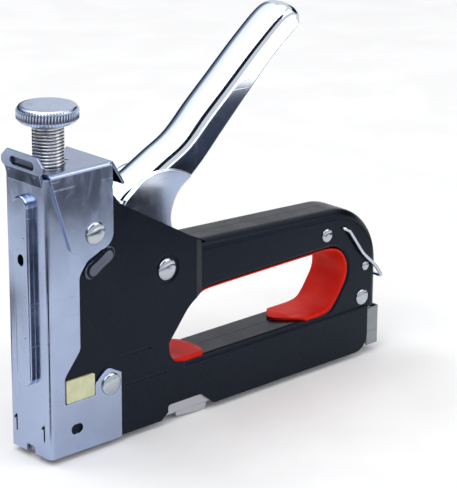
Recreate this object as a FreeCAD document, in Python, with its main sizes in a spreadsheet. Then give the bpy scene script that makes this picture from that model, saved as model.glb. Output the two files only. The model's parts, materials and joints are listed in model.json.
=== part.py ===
"""Manual staple gun with a screw-set spring, built as the separate pieces of the real tool.

Frame: X runs back from the flat front of the nose, Y is across, Z is up from the nose's foot.
The driver blade leaves the foot at X = 0, so the origin is the staple's way out.
"""
import FreeCAD, Part
import math
import os
from types import SimpleNamespace

import Sketcher
from FreeCAD import Placement, Rotation, Vector

DOC = FreeCAD.newDocument("StapleGun")

# ---------------------------------------------------------------- sizes, in mm and degrees
SIZE_TABLE = (
    # body halves
    ("body_rear", 178.5, "rear face of the grip"),
    ("body_half", 11.0, "half width of the wide panels"),
    ("grip_half", "=body_half - 1", "half width of the grip"),
    ("shell_wall", 1.0, "sheet of the body halves"),
    ("shell_front", 3.2, "front edge of the body halves, inside the nose"),
    ("shell_crown", 96.0, "top of the body halves, inside the cap"),
    ("shoulder_x", 31.0, "where the crown starts to fall"),
    ("crease_x", 78.0, "step from the wide panel to the grip"),
    ("crease_run", 3.4, "length of that step"),
    ("grip_front_z", 68.9, "top of the grip at the crease"),
    ("grip_rear_z", 63.7, "top of the grip, carried on to the rear face"),
    ("grip_rear_round", 27.0, "rear top corner"),
    ("grip_edge_round", 4.0, "rolled edge along the grip"),
    ("rail_top", 21.5, "top of the lower rail"),
    ("rail_edge_round", 1.6, "rolled edge of the lower rail"),
    ("panel_top", 19.6, "top of the wide panel along the rail"),
    ("latch_bay_x", "=body_rear - 6.5", "rear edge of the halves at the latch"),
    ("latch_bay_z", 18.6, "top of the latch bay"),
    ("heel_round", 7.0, "bottom rear corner"),
    ("seam_gap", 0.15, "gap between the two halves"),
    # boss beside the nose
    ("boss_x", 25.4, "middle of the pressed boss"),
    ("boss_z", 72.4, "middle of the pressed boss"),
    ("boss_lean", 30.0, "slope of the boss"),
    ("boss_long", 7.7, "half length of the boss"),
    ("boss_half", 3.1, "half width of the boss"),
    ("boss_rise", 1.4, "how far the boss stands out"),
    # hand opening
    ("hand_front_x", 60.2, "front of the hand opening, at the rail"),
    ("hand_knee_z", 31.5, "height where its front edge starts to lean"),
    ("hand_brow_x", 74.4, "where the leaning edge meets the top"),
    ("hand_brow_z", 48.8, "top of the hand opening at its front"),
    ("hand_top_rise", 1.0, "rise of that top towards the rear"),
    ("hand_rear_x", "=body_rear - 18.3", "rear of the hand opening"),
    ("hand_heel_x", "=hand_rear_x - 9.5", "where its sloping heel meets the rail"),
    ("hand_heel_z", 35.0, "where that heel starts to slope"),
    ("hand_brow_round", 20.0, "front top corner"),
    ("hand_toe_round", 8.0, "front lower corner"),
    ("hand_rear_round", 11.0, "rear top corner"),
    ("hand_heel_round", 8.0, "bends above and below the sloping heel"),
    # red liner
    ("liner_roof", 1.3, "liner along the top of the opening"),
    ("liner_face", 1.4, "liner at the rear of the opening"),
    ("liner_gap", 0.15, "gap around the liner"),
    ("liner_half", "=grip_half - 0.4", "half width of the liner"),
    # nose cover and cap
    ("nose_sheet", 1.0, "sheet of the nose cover and the cap"),
    ("nose_half", "=body_half + nose_sheet", "half width of the nose"),
    ("nose_bend", 1.9, "bend between the front plate and the cheeks"),
    ("nose_top", 109.3, "top of the nose cover's cheeks"),
    ("hood_top", 117.4, "top of the slotted hood"),
    ("hood_jog", 1.3, "how far the hood stands forward"),
    ("foot_rear", 34.9, "rear edge of the foot plate"),
    ("waist_x", 15.0, "rear edge of the cheek above the foot"),
    ("rib_half", 4.2, "half width of the pressed rib"),
    ("rib_depth", 2.8, "how far the rib stands forward"),
    ("rib_low", 27.5, "lower end of the rib"),
    ("rib_high", 101.5, "upper end of the rib"),
    ("cap_gap", 0.05, "gap between the cap and the nose cover"),
    ("cap_top", 111.0, "top of the cap"),
    ("cap_front", 1.6, "front edge of the cap"),
    ("cap_rear", 30.8, "rear edge of the cap's cheeks"),
    ("cap_low", 78.0, "bottom of the cap's cheeks"),
    ("stop_drop", 9.4, "drop of the cap's rear flange"),
    ("stop_run", 5.8, "how far that flange leans back"),
    # adjusting screw
    ("screw_x", 11.2, "axis of the screw and the main spring"),
    ("screw_radius", 6.0, "major radius of the thread"),
    ("screw_low", 103.0, "lower end of the screw"),
    ("knob_low", 127.1, "underside of the knob"),
    ("knob_high", 133.3, "top of the knob"),
    ("knob_radius", 11.6, "knob over its ribs"),
    ("thread_gap", 0.1, "radial gap around the thread"),
    ("nut_low", 104.6, "underside of the nut in the cap"),
    ("nut_radius", 9.6, "nut across its corners, halved"),
    ("seat_low", 99.6, "underside of the spring seat"),
    # striker and blade
    ("striker_rear", 18.0, "rear of the striker's body"),
    ("striker_half", 8.4, "half width of the striker"),
    ("striker_low", 29.7, "underside of the striker at rest"),
    ("striker_high", 56.0, "top of the striker at rest"),
    ("horn_rear", 33.0, "rear of the striker's horn"),
    ("horn_half", 5.0, "half width of the horn"),
    ("horn_wall", 3.0, "wall above and below the horn's window"),
    ("window_half", 3.3, "half height of the window for the lever"),
    ("blade_half", 5.6, "half width of the driver blade"),
    ("blade_front", 1.35, "front face of the blade"),
    ("blade_sheet", 1.15, "thickness of the blade"),
    # main spring
    ("spring_radius", 5.6, "mean radius of the main spring"),
    ("spring_wire", 0.9, "wire radius of the main spring"),
    ("spring_turns", 5, "turns of the main spring"),
    # handle
    ("pivot_x", 59.3, "axis of the handle"),
    ("pivot_z", 61.8, "axis of the handle"),
    ("pivot_radius", 3.0, "shank of the pivot rivet"),
    ("pivot_fit", 0.05, "running fit on the pivot"),
    ("handle_half", "=body_half - 2", "half width of the handle"),
    ("handle_sheet", 1.4, "sheet of the handle"),
    ("handle_bend", 3.0, "rolled edges of the handle"),
    ("cheek_step", 0.9, "how far the flat cheeks stand out from the channel"),
    ("lever_rivet_x", 53.5, "rivet through the handle and the lever"),
    ("lever_rivet_z", 78.0, "rivet through the handle and the lever"),
    ("lever_rivet_radius", 2.0, "shank of that rivet"),
    ("lever_reach", 32.0, "from the pivot to the tip of the lever"),
    ("lever_tip", 2.5, "radius of the lever's tip"),
    ("lever_half", 2.6, "half thickness of the lever"),
    ("lever_rest", 26.0, "how far the lever points down at rest"),
    # rivets
    ("rivet_shank", 2.5, "shank of the large rivets"),
    ("rivet_head", 4.5, "head of the large rivets"),
    ("rivet_rise", 1.6, "height of a large head"),
    ("cap_rivet_x", 22.0, "rivet through the cap"),
    ("cap_rivet_z", 85.1, "rivet through the cap"),
    ("foot_rivet_x", 29.6, "rivet through the foot"),
    ("foot_rivet_z", 23.2, "rivet through the foot"),
    ("rear_rivet_x", "=body_rear - 30.9", "upper rivet of the grip"),
    ("rear_rivet_z", 55.6, "upper rivet of the grip"),
    ("heel_rivet_x", "=body_rear - 9.3", "lower rivet of the grip"),
    ("heel_rivet_z", 23.7, "lower rivet of the grip"),
    ("pin_x", "=body_rear - 7.6", "small pin of the grip"),
    ("pin_z", 37.2, "small pin of the grip"),
    ("rivet_gap", 0.05, "radial gap around a rivet in its holes"),
    ("pin_shank", 1.6, "shank of the small rivets"),
    ("small_rise", 1.1, "height of a small head"),
    ("small_head", 2.9, "head of the upper grip rivet"),
    ("heel_head", 3.5, "head of the lower grip rivet"),
    ("pin_head", 2.0, "head of the small pin"),
    # nylon bumper
    ("block_front", 8.3, "front of the bumper's lugs"),
    ("block_rear", 22.0, "rear of the bumper"),
    ("block_half", "=nose_half - 0.3", "half width over the lugs"),
    ("block_gap", 0.1, "gap around the bumper"),
    # magazine
    ("guide_front", 3.6, "front end of the staple guide"),
    ("guide_half", 6.8, "half width of the staple guide"),
    ("guide_sheet", 1.0, "sheet of the staple guide"),
    ("guide_top", 20.3, "top of the staple guide"),
    ("guide_rear", "=latch_bay_x - 6", "rear end of the staple guide"),
    ("rail_half", "=body_half - 1.2", "half width of the magazine rail"),
    ("rail_sheet", 0.9, "sheet of the magazine rail"),
    ("rail_low", 0.4, "underside of the magazine rail"),
    ("rail_wall", 7.4, "top of the magazine rail's walls"),
    ("rail_front", 5.6, "front end of the magazine rail"),
    ("rail_rear", "=latch_bay_x - 1", "rear end of the magazine rail"),
    ("core_front", 4.2, "front end of the staple core"),
    ("core_sheet", 0.8, "sheet of the staple core"),
    ("core_half", 4.7, "half width of the staple core"),
    ("core_top", 17.2, "top of the staple core"),
    ("core_slot", 1.4, "half width of the slot in the core"),
    ("rod_z", 9.2, "axis of the pusher rod"),
    ("rod_radius", 1.5, "radius of the pusher rod"),
    ("slide_gap", 0.1, "gap between pieces of the magazine that slide"),
    ("pusher_front", 6.0, "front of the pusher"),
    ("pusher_length", 14.0, "length of the pusher"),
    ("pusher_half", 5.6, "half width of the pusher"),
    ("pusher_travel", 100.0, "stroke of the pusher"),
    ("end_front", "=latch_bay_x - 4", "front of the magazine's end block"),
    ("end_rear", "=end_front + 9", "rear of the end block"),
    ("end_half", "=rail_half - 1.3", "half width of the end block"),
    ("coil_radius", 2.3, "mean radius of the pusher's spring"),
    ("coil_wire", 0.35, "wire radius of the pusher's spring"),
    ("coil_turns", 16, "turns of the pusher's spring"),
    ("tab_front", 65.5, "front of the finger tab"),
    ("tab_rear", 81.0, "rear of the finger tab"),
    ("tab_half", 8.8, "half width of the finger tab"),
    ("tab_drop", 2.6, "how far the finger tab hangs below the foot"),
    # rear latch
    ("latch_rear", "=end_rear + 3.8", "rear face of the latch"),
    ("latch_half", "=rail_half", "half width of the latch"),
    ("latch_sheet", 0.8, "sheet of the latch"),
    ("latch_top", 17.2, "top of the latch"),
    ("latch_pin_x", "=end_front + 3", "axis of the latch"),
    ("latch_pin_z", 12.0, "axis of the latch"),
    ("latch_pin_radius", 1.5, "pin of the latch"),
    ("tooth_front", "=end_front - 16", "front of the latch teeth"),
    ("tooth_rear", "=tooth_front + 4", "rear of the latch teeth"),
    # wire bail
    ("bail_x", "=body_rear - 21.5", "axis of the wire bail"),
    ("bail_z", 56.6, "axis of the wire bail"),
    ("bail_wire", 0.7, "radius of its wire"),
    ("bail_half", "=grip_half + 1.3", "half width of the bail"),
    ("bail_fit", 0.1, "radial gap in its holes"),
)


class Size:
    """A number of the sheet, or one worked out from it, with its formula."""

    def __init__(self, value, formula):
        self.value = float(value)
        self.formula = formula

    def __float__(self):
        return self.value

    def __add__(self, other):
        return join(self, "+", other, float(self) + float(other))

    def __radd__(self, other):
        return join(other, "+", self, float(other) + float(self))

    def __sub__(self, other):
        return join(self, "-", other, float(self) - float(other))

    def __rsub__(self, other):
        return join(other, "-", self, float(other) - float(self))

    def __mul__(self, other):
        return join(self, "*", other, float(self) * float(other))

    def __rmul__(self, other):
        return join(other, "*", self, float(other) * float(self))

    def __truediv__(self, other):
        return join(self, "/", other, float(self) / float(other))

    def __neg__(self):
        return 0 - self


def sine(angle):
    return Size(math.sin(math.radians(float(angle))), "sin(%s)" % formula_of(angle))


def cosine(angle):
    return Size(math.cos(math.radians(float(angle))), "cos(%s)" % formula_of(angle))


def formula_of(number):
    return number.formula if isinstance(number, Size) else "%.6f" % number


def join(left, sign, right, value):
    return Size(value, "(%s %s %s)" % (formula_of(left), sign, formula_of(right)))


def make_sheet():
    """The driving dimensions, one row each, and a namespace that reads them."""
    sheet = DOC.addObject("Spreadsheet::Sheet", "Sizes")
    for row, (name, value, note) in enumerate(SIZE_TABLE, start=1):
        sheet.set("A%d" % row, name)
        sheet.set("B%d" % row, str(value))
        sheet.set("C%d" % row, note)
        sheet.setAlias("B%d" % row, name)
    DOC.recompute()
    return SimpleNamespace(**{
        name: Size(sheet.get(name), "Sizes." + name) for name, _, _ in SIZE_TABLE})


S = make_sheet()


# ---------------------------------------------------------------- sketch and feature helpers
def bind(feature, field, size):
    """Set a number of a feature and, where it comes from the sheet, its expression."""
    setattr(feature, field, float(size))
    if isinstance(size, Size):
        feature.setExpression(field, size.formula)


def new_body(label):
    body = DOC.addObject("PartDesign::Body", label)
    body.Label = label
    return body


def new_sketch(body, plane, lift=0.0):
    """A sketch on an origin plane of the body, lifted along the plane's normal."""
    sketch = body.newObject("Sketcher::SketchObject", "Sketch")
    base = next(f for f in body.Origin.OriginFeatures if f.Role == plane + "_Plane")
    sketch.AttachmentSupport = [(base, "")]
    sketch.MapMode = "FlatFace"
    sketch.AttachmentOffset = Placement(Vector(0, 0, float(lift)), Rotation())
    if isinstance(lift, Size):
        sketch.setExpression("AttachmentOffset.Base.z", lift.formula)
    return sketch


def fix_point(sketch, geometry, end, place):
    """Dimension a point from the sketch origin along both axes."""
    for kind, axis, number in (("DistanceX", -2, place[0]), ("DistanceY", -1, place[1])):
        if not isinstance(number, Size) and number == 0:
            sketch.addConstraint(Sketcher.Constraint("PointOnObject", geometry, end, axis))
        elif float(number) >= 0:
            dimension(sketch, Sketcher.Constraint(kind, -1, 1, geometry, end, float(number)), number)
        else:
            dimension(sketch, Sketcher.Constraint(kind, geometry, end, -1, 1, -float(number)), -number)


def dimension(sketch, constraint, size):
    index = sketch.addConstraint(constraint)
    if isinstance(size, Size):
        sketch.setExpression("Constraints[%d]" % index, size.formula)


def add_outline(sketch, corners):
    """Closed outline of straight runs. A corner is (x, y), or (x, y, radius) where it is round."""
    count = len(corners)
    points = [Vector(float(c[0]), float(c[1]), 0) for c in corners]
    trims = []
    for i, corner in enumerate(corners):
        towards = (points[i - 1] - points[i]).normalize()
        onwards = (points[(i + 1) % count] - points[i]).normalize()
        if len(corner) == 2:
            trims.append((points[i], points[i], None))
            continue
        half = towards.getAngle(onwards) / 2
        reach = float(corner[2]) / math.tan(half)
        middle = points[i] + (towards + onwards).normalize() * (float(corner[2]) / math.sin(half))
        trims.append((points[i] + towards * reach, points[i] + onwards * reach, middle))
    lines = []
    for i in range(count):
        start, end = trims[i][1], trims[(i + 1) % count][0]
        lines.append(sketch.addGeometry(Part.LineSegment(start, end), False))
    for i, corner in enumerate(corners):
        before, after = lines[i - 1], lines[i]
        if len(corner) == 2:
            sketch.addConstraint(Sketcher.Constraint("Coincident", before, 2, after, 1))
            fix_point(sketch, after, 1, corner)
            continue
        start, end, middle = trims[i]
        left_turn = (start - points[i]).cross(end - points[i]).z < 0
        first, last = (start, end) if left_turn else (end, start)
        spokes = [math.atan2(p.y - middle.y, p.x - middle.x) for p in (first, last)]
        circle = Part.Circle(middle, Vector(0, 0, 1), float(corner[2]))
        arc = sketch.addGeometry(Part.ArcOfCircle(circle, spokes[0], spokes[1]), False)
        ends = (1, 2) if left_turn else (2, 1)
        sketch.addConstraint(Sketcher.Constraint("Tangent", before, 2, arc, ends[0]))
        sketch.addConstraint(Sketcher.Constraint("Tangent", arc, ends[1], after, 1))
        dimension(sketch, Sketcher.Constraint("Radius", arc, float(corner[2])), corner[2])
        vertex = sketch.addGeometry(Part.Point(points[i]), True)
        fix_point(sketch, vertex, 1, corner)
        sketch.addConstraint(Sketcher.Constraint("PointOnObject", vertex, 1, before))
        sketch.addConstraint(Sketcher.Constraint("PointOnObject", vertex, 1, after))


def add_circle(sketch, x, y, radius):
    circle = Part.Circle(Vector(float(x), float(y), 0), Vector(0, 0, 1), float(radius))
    geometry = sketch.addGeometry(circle, False)
    fix_point(sketch, geometry, 3, (x, y))
    dimension(sketch, Sketcher.Constraint("Radius", geometry, float(radius)), radius)


def add_feature(body, kind, profile):
    feature = body.newObject("PartDesign::" + kind, kind)
    feature.Profile = profile
    profile.Visibility = False
    return feature


def pad(body, sketch, length, symmetric=False, backwards=False):
    feature = add_feature(body, "Pad", sketch)
    bind(feature, "Length", length)
    feature.SideType = "Symmetric" if symmetric else "One side"
    feature.Reversed = backwards
    return feature


def pocket(body, sketch, depth=None, symmetric=False, backwards=False):
    """A cut of the given depth, or right through the body where no depth is given."""
    DOC.recompute()
    before = body.Shape.Volume
    feature = add_feature(body, "Pocket", sketch)
    if depth is None:
        feature.Type = "ThroughAll"
    else:
        bind(feature, "Length", depth)
    feature.SideType = "Symmetric" if symmetric else "One side"
    feature.Reversed = backwards
    DOC.recompute()
    if body.Shape.Volume >= before - 1e-6:
        raise RuntimeError("a pocket of %s removes nothing" % body.Label)
    return feature


def hole(body, plane, x, y, radius, lift=0.0, depth=None, backwards=False):
    """A round hole through the body, or as deep as it says."""
    sketch = new_sketch(body, plane, lift)
    add_circle(sketch, x, y, radius)
    return pocket(body, sketch, depth, depth is None, backwards)


def cut_outline(body, plane, corners, lift=0.0, depth=None, symmetric=True, backwards=False):
    sketch = new_sketch(body, plane, lift)
    add_outline(sketch, corners)
    return pocket(body, sketch, depth, symmetric, backwards)


def pad_outline(body, plane, corners, length, lift=0.0, symmetric=False, backwards=False):
    sketch = new_sketch(body, plane, lift)
    add_outline(sketch, corners)
    return pad(body, sketch, length, symmetric, backwards)


def turn(body, corners, about="V_Axis", plane="XZ"):
    """A solid of revolution of a half profile."""
    sketch = new_sketch(body, plane)
    add_outline(sketch, corners)
    feature = add_feature(body, "Revolution", sketch)
    feature.ReferenceAxis = (sketch, [about])
    feature.Angle = 360
    return feature


def place(item, x=0.0, y=0.0, z=0.0):
    """Set the Placement of a sub-part, bound to the sheet where the place comes from it."""
    item.Placement = Placement(Vector(float(x), float(y), float(z)), Rotation())
    for axis, number in (("x", x), ("y", y), ("z", z)):
        if isinstance(number, Size):
            item.setExpression("Placement.Base." + axis, number.formula)


def box_corners(x0, x1, y0, y1, radius=None):
    corners = ((x0, y0), (x1, y0), (x1, y1), (x0, y1))
    return corners if radius is None else tuple(c + (radius,) for c in corners)


def inset(corners, margins):
    """The outline moved in by a margin for each run; a negative margin moves the run out."""
    count = len(corners)
    points = [Vector(float(c[0]), float(c[1]), 0) for c in corners]
    area = sum(points[i - 1].cross(points[i]).z for i in range(count))
    side = 1 if area > 0 else -1
    runs = []
    for i in range(count):
        along = (points[(i + 1) % count] - points[i]).normalize()
        inward = Vector(-along.y, along.x, 0) * side
        runs.append((points[i] + inward * float(margins[i]), along))
    moved = []
    for i in range(count):
        (a, u), (b, v) = runs[i - 1], runs[i]
        crossing = a + u * ((b - a).cross(v).z / u.cross(v).z)
        corner = (crossing.x, crossing.y)
        if len(corners[i]) == 3 and float(margins[i]) == float(margins[i - 1]):
            convex = u.cross(v).z * side > 0
            radius = float(corners[i][2]) + (-1 if convex else 1) * float(margins[i])
            corner += (radius,) if radius > 0.05 else ()
        moved.append(corner)
    return tuple(moved)


def near(number, target, slack=0.05):
    return abs(number - float(target)) < slack


def edges_where(shape, test):
    """Names of the edges whose ends and middle all pass the test."""
    names = []
    for number, edge in enumerate(shape.Edges, start=1):
        first, last = edge.ParameterRange
        spots = [edge.valueAt(first + (last - first) * share) for share in (0.02, 0.5, 0.98)]
        if all(test(p) for p in spots):
            names.append("Edge%d" % number)
    return names


def round_edges(body, radius, test, kind="Fillet"):
    DOC.recompute()
    base = body.Tip
    names = edges_where(base.Shape, test)
    if not names:
        raise RuntimeError("no edge to round on %s" % body.Label)
    feature = body.newObject("PartDesign::" + kind, kind)
    feature.Base = (base, names)
    bind(feature, "Radius" if kind == "Fillet" else "Size", radius)
    DOC.recompute()
    return feature


# ---------------------------------------------------------------- body halves
def half_outline():
    """Side of a body half: nose, crown, slope to the crease, grip and latch bay."""
    return (
        (S.shell_front, 0),
        (S.latch_bay_x, 0, S.heel_round),
        (S.latch_bay_x, S.latch_bay_z),
        (S.body_rear, S.latch_bay_z),
        (S.body_rear, S.grip_rear_z, S.grip_rear_round),
        (S.crease_x, S.grip_front_z),
        (S.shoulder_x, S.shell_crown),
        (S.shell_front, S.shell_crown),
    )


def panel_outline():
    """The wide panel: the whole front and a strip under the hand opening."""
    return (
        (S.shell_front, 0),
        (S.latch_bay_x, 0, S.heel_round),
        (S.latch_bay_x, S.panel_top),
        (S.hand_front_x + S.hand_toe_round, S.panel_top),
        (S.hand_brow_x - S.hand_toe_round, S.hand_knee_z + 6.5),
        (S.crease_x, S.hand_brow_z - 2.8),
        (S.crease_x, S.grip_front_z),
        (S.shoulder_x, S.shell_crown),
        (S.shell_front, S.shell_crown),
    )


def hand_opening():
    return (
        (S.hand_front_x, S.rail_top, S.hand_toe_round),
        (S.hand_heel_x, S.rail_top, S.hand_heel_round),
        (S.hand_rear_x, S.hand_heel_z, S.hand_heel_round),
        (S.hand_rear_x, S.hand_brow_z + S.hand_top_rise, S.hand_rear_round),
        (S.hand_brow_x, S.hand_brow_z, S.hand_brow_round),
        (S.hand_front_x, S.hand_knee_z),
    )


def on_grip_edge(y):
    """Test for the outer edge that runs along the grip and down its rear."""
    crease, rear = float(S.crease_x) + 1.5, float(S.body_rear) - 13.5
    top, bay = float(S.grip_rear_z) - 3.7, float(S.latch_bay_z) + 1.4

    def test(p):
        return near(p.y, y) and ((p.x > crease and p.z > top) or (p.x > rear and p.z > bay))
    return test


def make_shell_core():
    """The hollow of a body half, open below, in front and along the slope."""
    body = new_body("shell_core")
    wall, clear, edge = S.shell_wall, -5.0, -0.5
    grip = inset(half_outline(), (clear, -1.0, wall, wall, wall, edge, clear, clear))
    pad_outline(body, "XZ", grip, S.grip_half - wall + 1, lift=-1.0)
    round_edges(body, S.grip_edge_round * 0.6, on_grip_edge(wall - S.grip_half), "Chamfer")
    step = S.crease_run + wall
    panel = inset(panel_outline(), (clear, -1.0, wall, wall, wall, step, edge, clear, clear))
    pad_outline(body, "XZ", panel, S.body_half - wall + 1, lift=-1.0)
    return body


def make_left_shell():
    body = new_body("left_shell")
    skin = S.seam_gap / 2
    pad_outline(body, "XZ", half_outline(), S.grip_half - skin, lift=skin)
    pad_outline(body, "XZ", panel_outline(), S.body_half - skin, lift=skin)
    crease = round_edges(body, S.crease_run, kind="Chamfer", test=lambda p: (
        near(p.y, -S.body_half) and near(p.x, S.crease_x) and p.z > 40))
    crease.ChamferType = "Two distances"
    bind(crease, "Size2", S.body_half - S.grip_half - 0.05)
    round_edges(body, 0.8, lambda p: near(p.y, -S.body_half) and near(p.z, S.panel_top))
    round_edges(body, S.grip_edge_round, on_grip_edge(-S.grip_half))
    hollow = body.newObject("PartDesign::Boolean", "Hollow")
    hollow.setObjects([make_shell_core()])
    hollow.Type = "Cut"
    collar = inset(hand_opening(), [-S.shell_wall] * 6)
    pad_outline(body, "XZ", collar, S.grip_half - skin, lift=skin)
    cut_outline(body, "XZ", hand_opening(), symmetric=False, backwards=True)
    round_edges(body, S.rail_edge_round, lambda p: (
        near(p.y, -S.grip_half) and near(p.z, S.rail_top)))
    add_pressed_boss(body)
    add_shell_cuts(body)
    return body


def add_pressed_boss(body):
    """The oblong boss beside the nose, pressed out of the panel."""
    corners = []
    for u, v in ((-1, -1), (1, -1), (1, 1), (-1, 1)):
        along, across = S.boss_long * u, S.boss_half * v
        x = S.boss_x + along * cosine(S.boss_lean) - across * sine(S.boss_lean)
        z = S.boss_z + along * sine(S.boss_lean) + across * cosine(S.boss_lean)
        corners.append((x, z, S.boss_half - 0.05))
    pad_outline(body, "XZ", corners, S.boss_rise, lift=S.body_half)
    round_edges(body, S.boss_rise - 0.1, lambda p: near(p.y, -S.body_half - S.boss_rise))


def add_shell_cuts(body):
    """Rivet holes, the recess of the pivot, grooves, the bumper's window and the tab's notch."""
    big, small = S.rivet_shank + S.rivet_gap, S.pin_shank + S.rivet_gap
    hole(body, "XZ", S.cap_rivet_x, S.cap_rivet_z, big)
    hole(body, "XZ", S.foot_rivet_x, S.foot_rivet_z, big)
    hole(body, "XZ", S.pivot_x, S.pivot_z, S.pivot_radius + S.rivet_gap)
    hole(body, "XZ", S.pivot_x, S.pivot_z, S.rivet_head + 1.6, S.body_half, 0.5)
    hole(body, "XZ", S.rear_rivet_x, S.rear_rivet_z, small)
    hole(body, "XZ", S.heel_rivet_x, S.heel_rivet_z, small)
    hole(body, "XZ", S.pin_x, S.pin_z, small)
    hole(body, "XZ", S.bail_x, S.bail_z, S.bail_wire + S.bail_fit)
    for x0, x1, z in ((35.2, 50.8, 32.1), (37.2, 58.5, 19.9)):
        groove = box_corners(x0, x1, z - 0.6, z + 0.6)
        cut_outline(body, "XZ", groove, S.body_half, 0.4, False)
    window = box_corners(S.block_front - S.block_gap, S.block_rear + S.block_gap,
                         S.guide_top, S.striker_low)
    cut_outline(body, "XZ", window)
    notch = ((56.0, -1), (56.0, 0), (59.6, 2.6), (59.6, 5.6, 1.2), (77.0, 5.6, 1.2),
             (84.0, 0), (84.0, -1))
    cut_outline(body, "XZ", notch)
    tooth_way = box_corners(S.latch_bay_x - 1, S.body_rear + 1,
                            -S.end_half - 0.2, -S.guide_half - 0.4)
    cut_outline(body, "XY", tooth_way, S.latch_bay_z - 0.5, 2.0, False, True)


def make_right_shell(left):
    """The other half is the mirror image of the left one."""
    mirror = DOC.addObject("Part::Mirroring", "right_shell")
    mirror.Label = "right_shell"
    mirror.Source = left
    mirror.Normal = Vector(0, 1, 0)
    return mirror


# ---------------------------------------------------------------- nose cover and cap
def make_nose_cover():
    """Front sheet bent to a channel, with its rib, slots, foot and slotted hood."""
    body = new_body("nose_cover")
    add_hood(body)
    inner, bend = S.nose_half - S.nose_sheet, S.nose_bend - S.nose_sheet
    channel = ((S.foot_rear, -S.nose_half), (0, -S.nose_half, S.nose_bend),
               (0, S.nose_half, S.nose_bend), (S.foot_rear, S.nose_half),
               (S.foot_rear, inner), (S.nose_sheet, inner, bend),
               (S.nose_sheet, -inner, bend), (S.foot_rear, -inner))
    pad_outline(body, "XY", channel, S.nose_top)
    cut_outline(body, "XZ", cheek_waste())
    add_rib(body)
    add_nose_slots(body)
    return body


def cheek_waste():
    """What is cut from the cheeks: behind the waist, around the bumper and above the foot."""
    notch_rear = S.block_rear + S.block_gap
    return (
        (S.foot_rear + 5, S.nose_top + 1),
        (26.5, S.nose_top + 1),
        (26.5, 77.7, 3),
        (19.1, 74.7, 3),
        (S.waist_x, 69.5, 5),
        (S.waist_x, 40.6, 4),
        (7.3, 31.2, 4),
        (7.3, S.guide_top, 1),
        (notch_rear, S.guide_top, 0.4),
        (notch_rear, 25.0, 2),
        (28.3, 30.2, 3.2),
        (S.foot_rear, 26.6, 1),
        (S.foot_rear + 5, 22.9),
    )


def add_hood(body):
    """The front plate goes on above the cap, a little forward, with an obround slot."""
    low, flat = S.nose_top - 3.4, S.nose_half - S.nose_bend
    plate = ((S.nose_sheet, low), (0, low), (-S.hood_jog, S.cap_top),
             (-S.hood_jog, S.hood_top), (S.nose_sheet - S.hood_jog, S.hood_top),
             (S.nose_sheet - S.hood_jog, S.cap_top), (S.nose_sheet, S.nose_top))
    pad_outline(body, "XZ", plate, S.nose_half * 2, symmetric=True)
    for side in (-1, 1):
        edge, corner = S.nose_half * side, (S.nose_half - 3.2) * side
        relief = ((flat * side, low), (edge + side, low), (edge + side, S.cap_top + 1.2),
                  (edge, S.cap_top + 1.2, 0.6), (flat * side, S.cap_top - 0.4, 0.8))
        cut_outline(body, "YZ", relief)
        bevel = ((corner, S.hood_top), (edge, S.hood_top - 3.2), (edge + side, S.hood_top - 3.2),
                 (edge + side, S.hood_top + 1), (corner, S.hood_top + 1))
        cut_outline(body, "YZ", bevel)
    slot = box_corners(-7.0, 7.0, S.hood_top - 5.4, S.hood_top - 2.2, 1.55)
    cut_outline(body, "YZ", slot)


def add_rib(body):
    """The long rib pressed forward out of the front plate, hollow behind."""
    outer = box_corners(-S.rib_half, S.rib_half, S.rib_low, S.rib_high, S.rib_half - 0.05)
    pad_outline(body, "YZ", outer, S.rib_depth, backwards=True)
    round_edges(body, 0.9, lambda p: near(p.x, -S.rib_depth))
    margin = S.nose_sheet * 0.9
    inner = inset(outer, [margin] * 4)
    cut_outline(body, "YZ", inner, S.nose_sheet, S.nose_sheet + S.rib_depth - margin, False)


def add_nose_slots(body):
    """Peep hole in the rib, two barbed slits, the notch over the staple's way out, and holes."""
    peep = box_corners(-1.75, 1.75, 74.8, 79.2, 1.7)
    cut_outline(body, "YZ", peep)
    for side in (-1, 1):
        y = 8.2 * side
        slit = ((y - 0.45, 6.5), (y + 0.45, 6.5), (y + 0.45, 11.6), (y + 1.5, 11.0),
                (y + 1.5, 11.8), (y, 13.4), (y - 0.45, 12.8))
        cut_outline(body, "YZ", slit, symmetric=False, backwards=True)
    notch = ((-2.5, -1), (-2.5, 3.0, 0.6), (2.5, 3.0, 0.6), (2.5, -1))
    cut_outline(body, "YZ", notch)
    cut_outline(body, "XZ", box_corners(10.1, 15.7, 7.5, 11.5, 1.95))
    hole(body, "XZ", S.cap_rivet_x, S.cap_rivet_z, S.rivet_shank + S.rivet_gap)
    hole(body, "XZ", S.foot_rivet_x, S.foot_rivet_z, S.rivet_shank + S.rivet_gap)


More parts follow.
